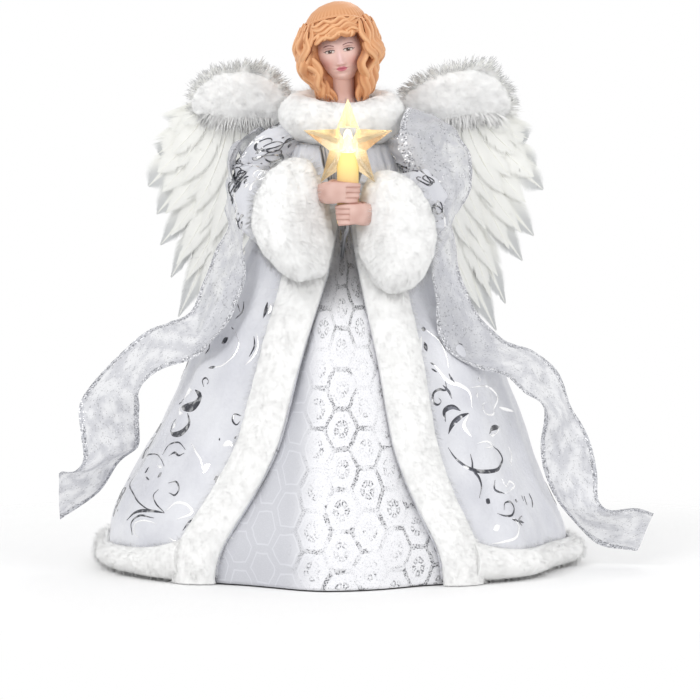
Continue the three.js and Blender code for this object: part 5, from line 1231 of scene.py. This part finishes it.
def makeDown(side, name):  # a soft white body over the feathers, with loose barbs along its rims
    path = Curve([point(x, 0, z) for x, z in fluff["middle"][side]])
    share = np.linspace(0, 1, 130)
    centre, ahead = path.at(share), path.ahead(share)
    across = np.stack([-ahead[:, 2], 0 * share, ahead[:, 0]], -1)
    turn = np.linspace(0, math.pi, 60)[None, :]
    up, low = along(fluff["up"], share)[:, None], along(fluff["down"], share)[:, None]
    reach = np.where(np.cos(turn) > 0, up, low) * np.cos(turn)
    loops = centre[:, None] + across[:, None] * reach[..., None]
    loops[..., 1] = fluff["layer"] - (up + low) * 0.2 * np.sin(turn) ** 0.8
    loops = loops + lumps(loops, [[9.0, 8, 0.9], [3.2, 9, 0.55]])[..., None] * point(0.2, -1, 0.5)
    base = outwards(closedLoft(name, ontoWing(loops, side)))
    comb = unit(placesOf(base) - ontoWing(point(20, -4, 6), side)) * [0.5, 0.1, 0.5]
    parts = [growPile(base, name + "_down", fur, comb, **fluff["pile"], seed=51 + side)]
    inner = slice(12, -8)  # the lower rim stops short of both ends
    low = along(fluff["down"], share[inner]) - 3.5
    lowerRim = centre[inner] - across[inner] * low[:, None] + point(0, fluff["layer"] - 0.5, 0)
    upperRim = [point(x, fluff["layer"] + 0.5, z) for x, z in fluff["rim"][side]]
    for line, kind, size, heart in ((lowerRim[::6], fur, "lowBarbs", point(16, -6, 34)),
                                    (upperRim, down, "highBarbs", point(20, -8, 8))):
        base = outwards(closedLoft(name, ontoWing(tube(Curve(line), 1.6, 10, 110), side)))
        comb = unit(placesOf(base) - ontoWing(heart, side)) * 2.2
        parts.append(growPile(base, name + "_barbs", kind, comb, **fluff[size], seed=61 + side, tuftSize=4,
                              tuftLean=0.8, spread=0.6, strand=barbs, facing=point(0, -1, 0)))
    return joinPieces(name + "_down", parts)


barbs = strandMesh("down barbs", 0.4, hairs=5, fan=0.16)
wingPieces = {}
for side, name in ((1, "left_wing"), (-1, "right_wing")):
    seed = 41 + 30 * (side < 0)
    wingPieces[name] = []
    for k, (row, *sizes) in enumerate(wing["rows"]):
        vane = coverVane if k else longVane
        wingPieces[name].append(featherRow(name + "_" + row, side, vane, seed + k, *sizes))
    wingPieces[name].append(makeDown(side, name))
print("stage: wings")

# head, with its features raised and painted

face = {"eyeOut": 4.75, "eyeUp": 2.7, "eyeHalf": (2.5, 0.82), "iris": 1.2, "browUp": 5.2, "lipUp": -6.5,
        "lipHalf": 3.1, "yawDeg": -1.0, "chinShare": 1.04, "lowered": 1.5, "shift": -1.1, "wider": 1.08}
paint = {"skin": "e6c1b7", "shade": "cfa092", "blush": "dca096", "nose": "ecc6c4", "lip": "cf7a88",
         "lipDeep": "b8566c", "eye": "d3c6be", "iris": "5a3f2c", "ink": "2c1d1b", "glint": "ffffff",
         "brow": "6e3436", "lid": "9c6a60", "neckShade": "cfa598", "neckLight": "e2bcb1"}


def onHead(points):  # leans and turns what is drawn upright round the head's middle
    tilt, yaw = math.radians(bust["tiltDeg"]), math.radians(face["yawDeg"])
    x, y, z = np.moveaxis(np.asarray(points, float), -1, 0)
    x, y = x * math.cos(yaw) - y * math.sin(yaw), x * math.sin(yaw) + y * math.cos(yaw)
    x, z = x * math.cos(tilt) - z * math.sin(tilt), x * math.sin(tilt) + z * math.cos(tilt)
    return np.stack([x, y, z + bust["headMiddle"]], -1)


def spot(x, y, midX, midY, wide, tall):
    return np.exp(-((x - midX) / wide) ** 2 - ((y - midY) / tall) ** 2)


def headShape(turn, level):
    halfWidth, halfDepth, halfHeight = bust["headWidth"] / 2, bust["headDepth"] / 2, bust["headHeight"] / 2
    ring = np.sqrt(1 - level ** 2)
    jaw = mix(0.74, 1, smooth((level + 1) / 1.1))
    x = np.sin(turn) * halfWidth * ring * jaw * face["wider"]
    back = halfDepth * ring * mix(0.86, 1, smooth((level + 1) / 1.2))
    z = level * halfHeight * np.where(level < 0, face["chinShare"], 1)
    aside, up = np.abs(x), z + face["lowered"]
    bridge = smooth((4.8 - up) / 8.4) * smooth((up + 5.2) / 1.3)
    nose = bridge * 2.5 * bump(x, mix(1.9, 1.3, smooth((up + 5) / 9)))
    form = (0.35 * spot(aside, up, 4, 6.6, 3.5, 2.0) - 1.0 * spot(aside, up, face["eyeOut"], 3.0, 3.0, 2.1)
            + 0.6 * spot(aside, up, face["eyeOut"], 2.5, 2.0, 1.15) + nose
            + 0.8 * spot(aside, up, 1.7, -4.0, 0.9, 0.9) + 0.75 * spot(x, up, 0, -5.8, 2.9, 0.7)
            + 0.9 * spot(x, up, 0, -7.4, 2.3, 0.85) - 0.5 * spot(x, up, 0, -6.6, 3.1, 0.3)
            - 0.5 * spot(x, up, 0, -9.0, 3.0, 0.8) + 1.2 * spot(x, up, 0, -11.0, 3.4, 2.2)
            + 0.7 * spot(aside, up, 6.6, -2.5, 3.4, 3.6))
    y = -np.cos(turn) * back - form * np.maximum(0, np.cos(turn))
    return x, y, z


def facePaint(x, z, front):  # the colour of each place on the face, x across and z up
    def layer(base, colour, share):
        return mix(base, np.array(tone(colour)), (np.clip(share, 0, 1) * front)[..., None])

    def line(distance, half):
        return smooth((half - np.abs(distance)) / 0.12 + 0.5)

    aside = np.abs(x)
    painted = np.broadcast_to(np.array(tone(paint["skin"])), x.shape + (3,))
    # painted shade towards the sides of the face
    painted = layer(painted, paint["shade"], smooth((aside - 6) / 6) * 0.8)
    painted = layer(painted, paint["blush"], 0.75 * spot(aside, z, 7.0, -3.4, 3.6, 3.0))
    # painted highlight down the nose
    painted = layer(painted, paint["nose"], 0.8 * spot(x, z, 0, -1.5, 1.6, 4.0))
    # painted shade in the nostrils
    painted = layer(painted, paint["shade"], 0.7 * spot(aside, z, 1.3, -4.9, 1.2, 0.5))
    painted = layer(painted, paint["lid"], 0.45 * spot(aside, z, face["eyeOut"], 4.2, 3.0, 1.3))
    half = face["lipHalf"]
    dip = 0.75 * (1 - (aside / half) ** 2) + 0.25 * bump(aside - 1.1, 0.8)
    upper = smooth((face["lipUp"] + 1.15 * dip + 0.25 - z) / 0.3) * smooth((z - face["lipUp"] + 0.1) / 0.25)
    full = 1.5 * np.sqrt(np.clip(1 - (aside / (half * 0.85)) ** 2, 0, 1))
    lower = smooth((face["lipUp"] - z) / 0.25) * smooth((z - face["lipUp"] + full) / 0.3)
    inLips = smooth((half - aside) / 0.5)
    painted = layer(painted, paint["lip"], (upper + lower) * inLips * 0.95)
    between = line(z - face["lipUp"], 0.16) * inLips * 0.9
    painted = layer(painted, paint["lipDeep"], between + 0.4 * spot(x, z, 0, -6.9, 1.4, 0.7))
    eyeX, eyeZ = aside - face["eyeOut"], z - face["eyeUp"]
    wide, tall = face["eyeHalf"]
    inEye = smooth((1 - (eyeX / wide) ** 2 - (eyeZ / tall) ** 2) / 0.3)
    painted = layer(painted, paint["eye"], inEye)
    away = np.hypot(eyeX, eyeZ - 0.1)
    painted = layer(painted, paint["iris"], inEye * smooth((face["iris"] - away) / 0.2))
    painted = layer(painted, paint["ink"], smooth((0.62 - away) / 0.15))
    glint = smooth((0.25 - np.hypot(eyeX * np.sign(x) - 0.4, eyeZ - 0.5)) / 0.1)
    painted = layer(painted, paint["glint"], glint * 0.9)
    lidTop = tall * np.sqrt(np.clip(1 - (eyeX / (wide * 1.12)) ** 2, 0, 1))
    inCorners = smooth((wide * 1.12 - np.abs(eyeX)) / 0.25)
    painted = layer(painted, paint["ink"], line(eyeZ - lidTop - 0.05, 0.24) * inCorners)
    painted = layer(painted, paint["lid"], line(eyeZ + lidTop * 0.9, 0.12) * inCorners * 0.7)
    crease = line(eyeZ - lidTop * 0.6 - 1.5, 0.14) * smooth((wide - np.abs(eyeX)) / 0.6)
    painted = layer(painted, paint["lid"], crease * 0.9)
    lash = line(eyeZ - 0.45 * (eyeX - wide * 0.8) + 0.1, 0.16)
    lash = lash * smooth((eyeX - wide * 0.8) / 0.2) * smooth((wide * 1.4 - eyeX) / 0.3)
    painted = layer(painted, paint["ink"], lash)
    arch = face["browUp"] + 0.9 - 0.085 * (aside - 5.2) ** 2
    brow = line(z - arch, 0.26) * smooth((aside - 2.1) / 0.4) * smooth((8.4 - aside) / 1.6)
    return layer(painted, paint["brow"], brow * 0.95)


skin = tintedFinish("painted resin", "e0bab0", 0.48, 1600.0, 0.12, 0.05)


def setTint(piece, colours):
    rgba = np.concatenate([colours, np.ones((len(colours), 1))], 1)
    piece.data.attributes.new("tint", "FLOAT_COLOR", "POINT").data.foreach_set("color", rgba.reshape(-1))


# down the neck: height, half width, half depth and how far back its middle lies, in mm
neckRows = [[251, 6.4, 6.4, 0], [247, 6.6, 6.6, 0], [242, 6.7, 6.7, 0.5], [238.5, 7.6, 7.2, 0.5],
            [236.5, 10, 8.2, 0.5], [235, 15, 9.4, 0.5], [232.5, 17.5, 9.8, 0.5], [230.7, 17.5, 9.8, 0.5]]


def makeNeck():
    table = np.array(neckRows, float)
    places = np.linspace(0, 7, 40)
    height, wide, deep, back = [np.interp(places, np.arange(8), table[:, k]) for k in range(4)]
    wide, deep = [np.convolve(np.pad(v, 2, "edge"), np.ones(5) / 5, "valid") for v in (wide, deep)]
    turn = turns(64)[:, None]
    loops = stacked(wide * np.sin(turn), back - deep * np.cos(turn), height).transpose(1, 0, 2)
    neck = outwards(closedLoft("neck", loops, skin))
    ends = np.array([tone(paint["neckShade"]), tone(paint["neckLight"])])
    shade = mix(ends[0], ends[1], smooth((244 - loops[..., 2]) / 8)[..., None])
    setTint(neck, np.vstack([shade.reshape(-1, 3), ends])[:len(neck.data.vertices)])
    return neck


def makeHead():
    columns, rows = 300, 240
    s = (np.arange(columns) / columns * 2 - 1)[:, None]
    turn = math.pi * s * (0.45 + 0.55 * s ** 2)
    level = -np.cos(np.linspace(0.02, math.pi - 0.02, rows))[None, :]
    x, y, z = headShape(*np.broadcast_arrays(turn, level))
    front = smooth((np.cos(turn) + 0 * level) * 3)
    head = gridMesh("head", onHead(np.stack([x + face["shift"], y, z], -1)), skin, ringRows=True)
    setTint(head, facePaint(x, z + face["lowered"], front).reshape(-1, 3))
    return joinPieces("head_painted", [head, makeNeck()])


# hair, a smooth crown with waved locks

hairCut = {
    "middleBack": 2.5, "top": 26.2, "lockRadius": 2.3, "wave": 0.12, "waves": 2.6, "bounce": 1.2,
    # height over the head's middle: the hair's reach to the doll's right, to its left and in depth, in mm
    "hull": [[-32, 9, 6, 7], [-25, 10.5, 8, 9], [-20, 12.6, 9, 11.5], [-15, 14.5, 11, 14.5],
             [-8, 17.8, 13.8, 17.5], [-4, 20.6, 17, 19.2], [2, 20.6, 17, 19.5], [7.5, 19.8, 16.2, 19],
             [14, 17.4, 15.6, 17], [19, 14.8, 13.4, 13.6], [22, 12, 11, 10.5], [24.5, 7.8, 7.6, 6.4],
             [25.7, 3.8, 3.8, 3], [26.2, 0, 0, 0]],
    # height over the head's middle: half the width that is left open for the face
    "opening": [[-32, 5.8], [-20, 7.4], [-12, 9.3], [-8, 11.2], [-2, 13], [5, 13.1], [9, 11.8], [11, 7],
                [12, -3], [30, -3]],
    "sideLocks": [13, 12],  # in the under layer and the upper one, on each side
    "fringeLocks": 5,
    # the short locks of the fringe: place across and how much further each hangs
    "browLocks": [[-9.5, 0.6], [-6.2, 1.2], [-3.4, 0.6], [1.0, -0.6], [5, 0], [8.6, 1]],
}
# the hair's colour with painted shade: light on ridges, middle, deep in grooves
hairShadeTones = {"light": "e9b384", "middle": "cd8e5f", "deep": "8a4c30"}


def hairHull(turn, up, grow=0.0):
    table = np.array(hairCut["hull"], float)
    right, left, depth = [np.interp(up, table[:, 0], table[:, k]) for k in (1, 2, 3)]
    across = np.sin(turn)
    x = across * (np.where(across < 0, right, left) + grow)
    y = -np.cos(turn) * (depth + grow) + hairCut["middleBack"]
    return stacked(x, y, up)


def paintedHairShade(share):  # painted shade: 0 deep in a groove, 1 light on a ridge
    deep, middle, light = [np.array(tone(hairShadeTones[k])) for k in ("deep", "middle", "light")]
    share = np.clip(share, 0, 1)[..., None]
    return mix(mix(deep, middle, np.minimum(share * 2, 1)), light, np.maximum(share * 2 - 1, 0))


def makeLock(path, radius, seed, profile=((0, 0.35), (0.15, 0.8), (0.55, 1), (0.85, 0.9), (1, 0.15))):
    line = Curve(path)
    steps, sides = max(14, int(line.length / 0.8)), 16
    share = np.linspace(0, 1, steps + 1)
    loops = tube(line, 1.0, sides, steps)
    centre = line.at(share)
    arms = loops - centre[:, None]
    ridge = 1 + 0.15 * np.cos(3 * turns(sides) + 5 * share[:, None] + seed)
    size = radius * along(profile, share)[:, None] * ridge
    out = unit(centre - [0, hairCut["middleBack"], 0])[:, None]
    facing = (arms * out).sum(-1)
    piece = closedLoft("lock", onHead(centre[:, None] + arms * size[..., None]), hairFinish)
    # painted shade: lighter on ridges and where the lock faces away from the head's middle, darker where it
    # faces in
    colour = paintedHairShade(facing * 0.5 + 0.38 + 1.9 * (ridge - 1))
    setTint(piece, np.vstack([colour.reshape(-1, 3), colour[0].mean(0), colour[-1].mean(0)]))
    return piece


hairFinish = tintedFinish("moulded hair", "cf9467", 0.5, 900.0, 0.25, 0.1)


def makeCrown():
    columns, rows = 260, 110
    turn = turns(columns)[:, None]
    up = np.linspace(-23, hairCut["top"], rows)[None, :] + 0 * turn
    groove = np.sin(46 * turn + 0.9 * np.sin(up / 2.5)) * smooth((24 - up) / 5)
    grid = hairHull(turn, up, 0.4 + 0.07 * groove)
    room = along(hairCut["opening"], up) - np.abs(grid[..., 0] - face["shift"])
    inFace = smooth(room / 1.6 + 0.5) * (grid[..., 1] < 0)
    grid = mix(grid, grid * [0.5, 0.15, 1], inFace[..., None])
    crown = gridMesh("crown", onHead(grid), hairFinish, ringRows=True)
    # painted shade: lighter on ridges, darker in grooves, lower down and where the crown turns in round the
    # face
    light = 0.66 + 0.16 * groove - 0.3 * smooth((15 - up) / 9) - 0.3 * inFace
    setTint(crown, paintedHairShade(light).reshape(-1, 3))
    return crown


def sideLock(side, place, layer, rng):
    around = math.radians(mix(45, 172, place))
    low = mix(-26 if side < 0 else -28, -22, smooth(place * 1.6)) + rng.uniform(-1.5, 1.5)
    high = mix(13 if layer else 17, 17, place) + rng.uniform(-1, 1)
    s = np.linspace(0, 1, 19)
    height = mix(high, low, s)
    phase = rng.uniform(0, 6.28)
    swing = fullTurn * hairCut["waves"] * s + phase
    sway = hairCut["wave"] * smooth(s * 3) * np.sin(swing)
    bulge = (2.3 if layer else 0.8) + hairCut["bounce"] * smooth(s * 2.5) * np.sin(swing + 1.3)
    inward = 0.1 * smooth((s - 0.6) / 0.4) * (place < 0.3)
    path = hairHull(side * (around + sway - inward), height, bulge)
    path[-1] += unit(point(path[-1][0], path[-1][1], 0)) * -1.5 + [0, 0, 0.8]
    return makeLock(path, hairCut["lockRadius"] * rng.uniform(0.8, 1.15), phase)


def fringeLock(row, rng):  # waves that run across the brow, from the doll's left to its right
    s = np.linspace(0, 1, 25)
    height = mix(17.2 - 1.55 * row, 16.0 - 1.95 * row, s) - 1.0 + 0.9 * np.sin(math.pi * s)
    height = height + 0.75 * np.sin(fullTurn * 3.1 * s + 1.4 * row)
    turn = np.radians(mix(44 - 1.5 * row, -47 + 1.5 * row, s))
    path = hairHull(turn, height, 0.7 + 0.6 * np.sin(fullTurn * 2.3 * s + 2.1 * row))
    return makeLock(path, 1.45, rng.uniform(0, 6), ((0, 0.4), (0.12, 0.9), (0.88, 1), (1, 0.35)))


def browLock(x, drop, rng):  # a short end that hangs from the fringe
    s = np.linspace(0, 1, 7)
    height = mix(11.5, 8.6 - drop, s)
    across = x - 1.6 * s + 0.5 * np.sin(4 * s)
    path = hairHull(np.arcsin(np.clip(across / 19.5, -0.9, 0.9)), height, 0.3 + 0.5 * np.sin(3 * s))
    return makeLock(path, 1.5, rng.uniform(0, 6), ((0, 0.6), (0.6, 1), (1, 0.2)))


def makeHair():
    rng = np.random.default_rng(17)
    pieces = [makeCrown()]
    for side in (-1, 1):
        for layer, count in enumerate(hairCut["sideLocks"]):
            pieces += [sideLock(side, (k + 0.5 * layer + rng.uniform(-0.15, 0.15)) / (count - 1), layer, rng)
                       for k in range(count)]
    pieces += [fringeLock(row, rng) for row in range(hairCut["fringeLocks"])]
    pieces += [browLock(x, drop, rng) for x, drop in hairCut["browLocks"]]
    s = np.linspace(0, 1, 17)
    # a thin roll over the brow where the fringe starts
    band = hairHull(np.radians(mix(-88, 88, s)), 18.9 - 7.0 * (2 * s - 0.95) ** 2, 0.7)
    pieces.append(makeLock(band, 0.75, 0.5, ((0, 0.5), (0.5, 1), (1, 0.5))))
    return joinPieces("hair_locks", pieces)


headPiece = makeHead()
hairPiece = makeHair()
print("stage: head and hair")

# moulded hands closed round the candle, the pad and the pleated bodice


def evenSkin(piece, finish, voxel, rounds):  # one skin over all that the piece's mesh holds
    grid = piece.modifiers.new("even grid", "REMESH")
    grid.mode, grid.voxel_size = "VOXEL", voxel * mm
    relax = piece.modifiers.new("soften", "SMOOTH")
    relax.factor, relax.iterations = 0.5, rounds
    mesh = bakedMesh(piece)
    piece.modifiers.clear()
    piece.data = mesh
    mesh.name = piece.name
    mesh.materials.clear()
    mesh.materials.append(finish.material)
    shadeSmooth(mesh)
    return piece


def limb(path, halves):  # an oval body along a path; halves are its thickness and height at each point
    line = Curve(path)
    share = np.linspace(0, 1, 26)
    spots = np.linspace(0, 1, len(halves))
    thick, tall = [np.interp(share, spots, np.array(halves)[:, k])[:, None, None] for k in (0, 1)]
    ahead = line.ahead(share)
    out = unit(np.cross(ahead, point(0, 0, 1)))[:, None]
    up = unit(np.cross(out, ahead[:, None]))
    turn = turns(24)[None, :, None]
    return closedLoft("limb", line.at(share)[:, None] + out * thick * np.cos(turn) + up * tall * np.sin(turn))


hand = {"candle": (3.0, -58.0), "height": {-1: 195.2, 1: 184.2}, "fingerPitch": 2.7, "fingerRadius": 1.5,
        "grip": 7.0, "fromDeg": 25, "toDeg": 150, "shorterDeg": (0, 3, 7, 16),
        # how thick a finger is, from its knuckle to its tip
        "thick": [1.1, 1, 1, 1.12, 1, 0.94, 1.08, 0.96, 0.9, 0.88, 0.8, 0.45]}


def makeHand(side, name):  # side -1 is the doll's right hand
    middle, (cx, cy) = hand["height"][side], hand["candle"]

    def aroundCandle(deg, radius, height):
        angle = math.radians(deg)
        return point(cx + side * radius * math.cos(angle), cy - radius * math.sin(angle), height)

    parts = []
    for k, shorter in enumerate(hand["shorterDeg"]):
        height = middle + (1.5 - k) * hand["fingerPitch"]
        spots = np.linspace(hand["fromDeg"], hand["toDeg"] - shorter, 12)
        size = hand["fingerRadius"] * (1 - 0.05 * k)
        halves = [[size * w, size * (0.94 + 0.06 * w)] for w in hand["thick"]]
        parts.append(limb([aroundCandle(d, hand["grip"], height - 0.012 * (d - 60)) for d in spots], halves))
    back = [aroundCandle(84, 8.1, middle), aroundCandle(60, 8.9, middle),
            aroundCandle(38, 10.6, middle - 0.2),
            point(cx + side * 13.5, cy + 0.5, middle - 0.8), point(cx + side * 21, cy + 5.5, middle - 2.4)]
    parts.append(limb(back, [[1.0, 4.8], [2.0, 5.7], [3.0, 5.6], [2.9, 4.3], [3.0, 3.9]]))
    thumb = [aroundCandle(20, 9.5, middle + 3), aroundCandle(-25, 8.2, middle + 4.2),
             aroundCandle(-70, 7.4, middle + 4)]
    parts.append(limb(thumb, [[2.4, 2.4], [2.0, 2.0], [1.2, 1.3]]))
    piece = evenSkin(joinPieces(name, parts), skin, 0.32, 4)
    at = placesOf(piece)
    # painted shade: darker in the grooves between the fingers close to the candle, over a random mottle
    finger = (at[:, 2] - middle) / hand["fingerPitch"]
    groove = np.abs(finger - np.round(finger))
    near = smooth((9.3 - np.hypot(at[:, 0] - cx, at[:, 1] - cy)) / 0.8)
    share = 0.35 + 0.4 * clouds(at, 5.0, 3) + 0.55 * near * smooth((0.2 - groove) / 0.2)
    setTint(piece, mix(np.array(tone("e3c1b6")), np.array(tone("b98a7d")), np.clip(share, 0, 1)[:, None]))
    return piece


def copied(nodeName, name):  # a merged copy of a CAD solid in its place
    source = nodes[nodeName]
    mesh = source.data.copy()
    mesh.transform(source.matrix_world)
    mergeDoubles(mesh)
    return addObject(name, mesh)


handPieces = [makeHand(1, "left_hand_skin"), makeHand(-1, "right_hand_skin")]


bodiceCut = {
    "top": 217.5, "thickness": 0.5, "patternRadius": 19.0,
    # height: the torso's half width and half depth there, in mm
    "wide": [[186.35, 17], [199.5, 17], [213.6, 22], [223.3, 25], [230.35, 18]],
    "deep": [[186.35, 13], [199.5, 13], [213.6, 15], [223.3, 12], [230.35, 9.6]],
}


def makeBodice():
    turn = turns(560)[:, None]
    height = np.linspace(bust["torsoFoot"] + 0.4, bodiceCut["top"], 30)[None, :]
    wide, deep = along(bodiceCut["wide"], height), along(bodiceCut["deep"], height)
    pleat = 0.9 + 0.5 * np.abs(np.sin(38 * turn + 0.4 * np.sin(height / 7))) + 0.25 * np.sin(5 * turn)
    grid = stacked(np.sin(turn) * (wide + pleat), -np.cos(turn) * (deep + pleat), height)
    uv = stacked(withSeam(turn) * bodiceCut["patternRadius"], height)
    piece = gridMesh("bodice_pleats", grid, lustre, uv, ringRows=True)
    thicken(piece, bodiceCut["thickness"])
    return piece


lustre = Finish("pleated lustre cloth", "d3d2d4", 0.25, 0.35)
lustre.mottle("c9c8cb", "e4e3e6", 200.0)
bodicePiece = makeBodice()


backingCut = {
    # round the felt, as shares of the wing's reach and of its drop
    "shape": [[-0.16, 0], [0.1, 0.07], [0.42, 0.04], [0.6, -0.06], [0.66, -0.2], [0.6, -0.4], [0.45, -0.56],
              [0.24, -0.62], [0.06, -0.52], [-0.06, -0.3], [-0.16, 0]],
    "layer": -1.95, "thickness": 1.2,
}


def makeBacking(side, name):
    corners = [point(x * wing["reach"], 0, z * wing["drop"]) for x, z in backingCut["shape"]]
    rim = Curve(corners).at(np.arange(90) / 90)
    middle = rim.mean(0)
    rings = np.linspace(0.0, 1, 14)
    grid = middle + (rim[None] - middle) * rings[:, None, None] + point(0, backingCut["layer"], 0)
    piece = outwards(gridMesh(name, ontoWing(grid, side), felt, ringColumns=True))
    thicken(piece, backingCut["thickness"], inward=False)
    return piece


felt = Finish("white felt", "f1f1ee", 0.95, Sheen_Weight=0.2)
felt.grain(2200.0, 0.5, 0.15)
backingPieces = [makeBacking(1, "left_wing_felt"), makeBacking(-1, "right_wing_felt")]
foamTape = Finish("foam tape", "e6e6e1", 0.95)
foamTape.grain(1400.0, 0.7, 0.3, 1.0)
padPiece = evenSkin(copied("mounting_pad", "mounting_pad_foam"), foamTape, 0.6, 3)
print("stage: hands, bodice, backings and pad")

# finishes of the plain pieces that the CAD model already has right

slotOf = {s["node"]: s.get("material_slot") for s in frame["record"].get("subparts", [])}
glowMiddle = {"lamp": (0.003, -0.058, 0.222), "flame": (0.003, -0.058, 0.217)}  # metres


def plainFinishes():
    card = Finish("rolled card", "d8d2c4", 0.85)
    card.mottle("d2cbbb", "dfdacd", 90.0, 4.0)
    foam = Finish("white foam", "eeeeea", 0.9)
    foam.grain(900.0, 0.6, 0.3, 1.0)
    plastic = Finish("moulded plastic", "f0f0ee", 0.42)
    plastic.grain(1500.0, 0.15, 0.05)
    wire = Finish("drawn wire", "a4a4a4", 0.32, 1.0)
    wire.grain(2500.0, 0.2, 0.03)
    contact = Finish("nickel contact", "cfcfcb", 0.22, 1.0)
    contact.grain(1200.0, 0.2, 0.03)
    knob = Finish("black knob", "242424", 0.45)
    knob.grain(2200.0, 0.3, 0.05)
    cellWrap = Finish("cell wrap", "45678f", 0.35, 0.3)
    cellWrap.mottle("3d5f8a", "4b6d96", 60.0)
    lead = Finish("lead sleeve", "a3a4a9", 0.5)
    lead.grain(900.0, 0.2, 0.05)
    candle = Finish("candle wax", "f3dfa6", 0.45)
    height = candle.parts(candle.place())[2]
    # painted glow: brighter wax and more light given off near the top, standing for the bulb's light through
    # the wax
    glow = candle.step(height, 0.196, 0.212)
    candle.set("Base Color", candle.shade(glow, "eccb8e", "f6dd8e"))
    candle.set("Emission Color", candle.shade(glow, "e8a850", "ffe680"))
    candle.set("Emission Strength", candle.plus(0.02, candle.times(glow, 0.22)))
    lamp = Finish("lit lamp", "fff6d0", 0.3)
    away = lamp.length(lamp.vector("SUBTRACT", lamp.place(), glowMiddle["lamp"]))
    hot = lamp.step(away, 0.02, 0.004)
    lamp.set("Emission Color", lamp.shade(hot, "ffdc7a", "fff4c8"))
    lamp.set("Emission Strength", lamp.plus(0.4, lamp.times(hot, 0.9)))
    acrylic = Finish("clear acrylic", "f5e2c0", 0.05, IOR=1.45, Transmission_Weight=0.85)
    place = acrylic.place()
    # painted glow: the star gives off light near the flame and along its top, standing for the bulb's light
    # carried through it
    away = acrylic.length(acrylic.vector("SUBTRACT", place, glowMiddle["flame"]))
    shine = acrylic.step(away, 0.013, 0.002)
    upperGlow = acrylic.times(acrylic.step(acrylic.parts(place)[2], 0.222, 0.232), 0.22)
    acrylic.set("Emission Color", acrylic.shade(shine, "ffe4a8", "fff8d8"))
    own = acrylic.plus(acrylic.times(shine, 0.35), upperGlow)
    acrylic.set("Emission Strength", acrylic.plus(0.04, own))
    return dict(card=card, foam=foam, plastic=plastic, wire=wire, contact=contact, knob=knob, cell=cellWrap,
                lead=lead, pad=foamTape, skin=foam, hair=foam, candle=candle, lamp=lamp, acrylic=acrylic,
                fur=furBack, satin=satin, brocade=satin, organza=satin, feather=furBack, felt=felt,
                down=furBack)


plain = plainFinishes()
for nodeName, node in nodes.items():
    finish = plain.get(slotOf.get(nodeName))
    if finish is None:
        print("no finish for", nodeName, slotOf.get(nodeName))
        continue
    if not node.material_slots:
        node.data.materials.append(finish.material)
    for slot in node.material_slots:
        slot.material = finish.material
print("stage: plain finishes")

# which body each piece rides on and which solids it stands for

standsFor = {
    robePiece: "robe", skirtPiece: "underskirt", leftTrim: "left_front_trim", rightTrim: "right_front_trim",
    hemTrim: "hem_trim", collarPiece: "fur_collar", cuffPieces[0]: "left_cuff", cuffPieces[1]: "right_cuff",
    sleevePieces[0][0]: "left_sleeve", sleevePieces[1][0]: "right_sleeve", stolePiece: "ribbon_stole",
    headPiece: "bust_casting", hairPiece: "hair_casting", handPieces[0]: "left_hand",
    handPieces[1]: "right_hand", bodicePiece: "bodice", padPiece: "mounting_pad",
}
for piece, node in standsFor.items():
    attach(piece, "doll")
    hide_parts(node)
for piece in (robeFoil, sleevePieces[0][1], sleevePieces[1][1]):
    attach(piece, "doll")
for (name, pieces), backing in zip(wingPieces.items(), backingPieces):
    for piece in (*pieces, backing):
        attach(piece, name)
    for piece, kind in ((pieces[0], "primary_feathers"), (pieces[1], "secondary_feathers"),
                        (pieces[3], "down_trim"), (backing, "backing")):
        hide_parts(name + "_" + kind)

# floor, backdrop and light

room = {"world": 0.86, "key": 8.5, "fill": 4.5, "rim": 3.0, "aim": (0, 0, 0.14),
        "floorRadius": 700.0, "fadeFrom": 0.16, "fadeTo": 0.42}


def paleFloor():  # a pale disc that keeps the shadow and fades into the white behind it
    turn = turns(96)[None, :]
    radius = np.linspace(1, room["floorRadius"], 24)[:, None]
    grid = stacked(radius * np.cos(turn), radius * np.sin(turn), -0.4)
    cloth = Finish("pale floor", "f4f4f4", 0.85)
    away = cloth.length(cloth.place())
    cloth.set("Alpha", cloth.step(away, room["fadeTo"], room["fadeFrom"]))
    gridMesh("floor", grid, cloth, ringColumns=True, flip=True)


def whiteWorld():
    world = scene.world or bpy.data.worlds.new("world")
    scene.world = world
    world.use_nodes = True
    sky = Wiring(world.node_tree)
    back = sky.tree.nodes["Background"]
    path = sky.add("ShaderNodeLightPath").outputs
    seen = sky.most(path["Is Camera Ray"], path["Is Transmission Ray"])
    seen = sky.most(seen, path["Is Glossy Ray"])
    strength = sky.add("ShaderNodeMix", {0: seen}, data_type="FLOAT")
    strength.inputs[2].default_value, strength.inputs[3].default_value = room["world"], 1.0
    sky.feed(back.inputs["Strength"], strength.outputs[0])
    back.inputs["Color"].default_value = (1, 1, 1, 1)


def softLamp(name, place, size):
    lamp = bpy.data.lights.new(name, "AREA")
    lamp.shape = "DISK"
    lamp.size, lamp.energy = size, room[name]
    holder = addObject(name, lamp)
    holder.location = place
    aim = Vector(room["aim"]) - Vector(place)
    holder.rotation_euler = aim.to_track_quat("-Z", "Y").to_euler()


paleFloor()
whiteWorld()
softLamp("key", (-0.9, -1.1, 1.2), 0.7)
softLamp("fill", (1.2, -1.0, 0.6), 0.9)
softLamp("rim", (0.3, 1.2, 1.1), 0.6)
scene.view_settings.view_transform = "Standard"
print("stage: light")
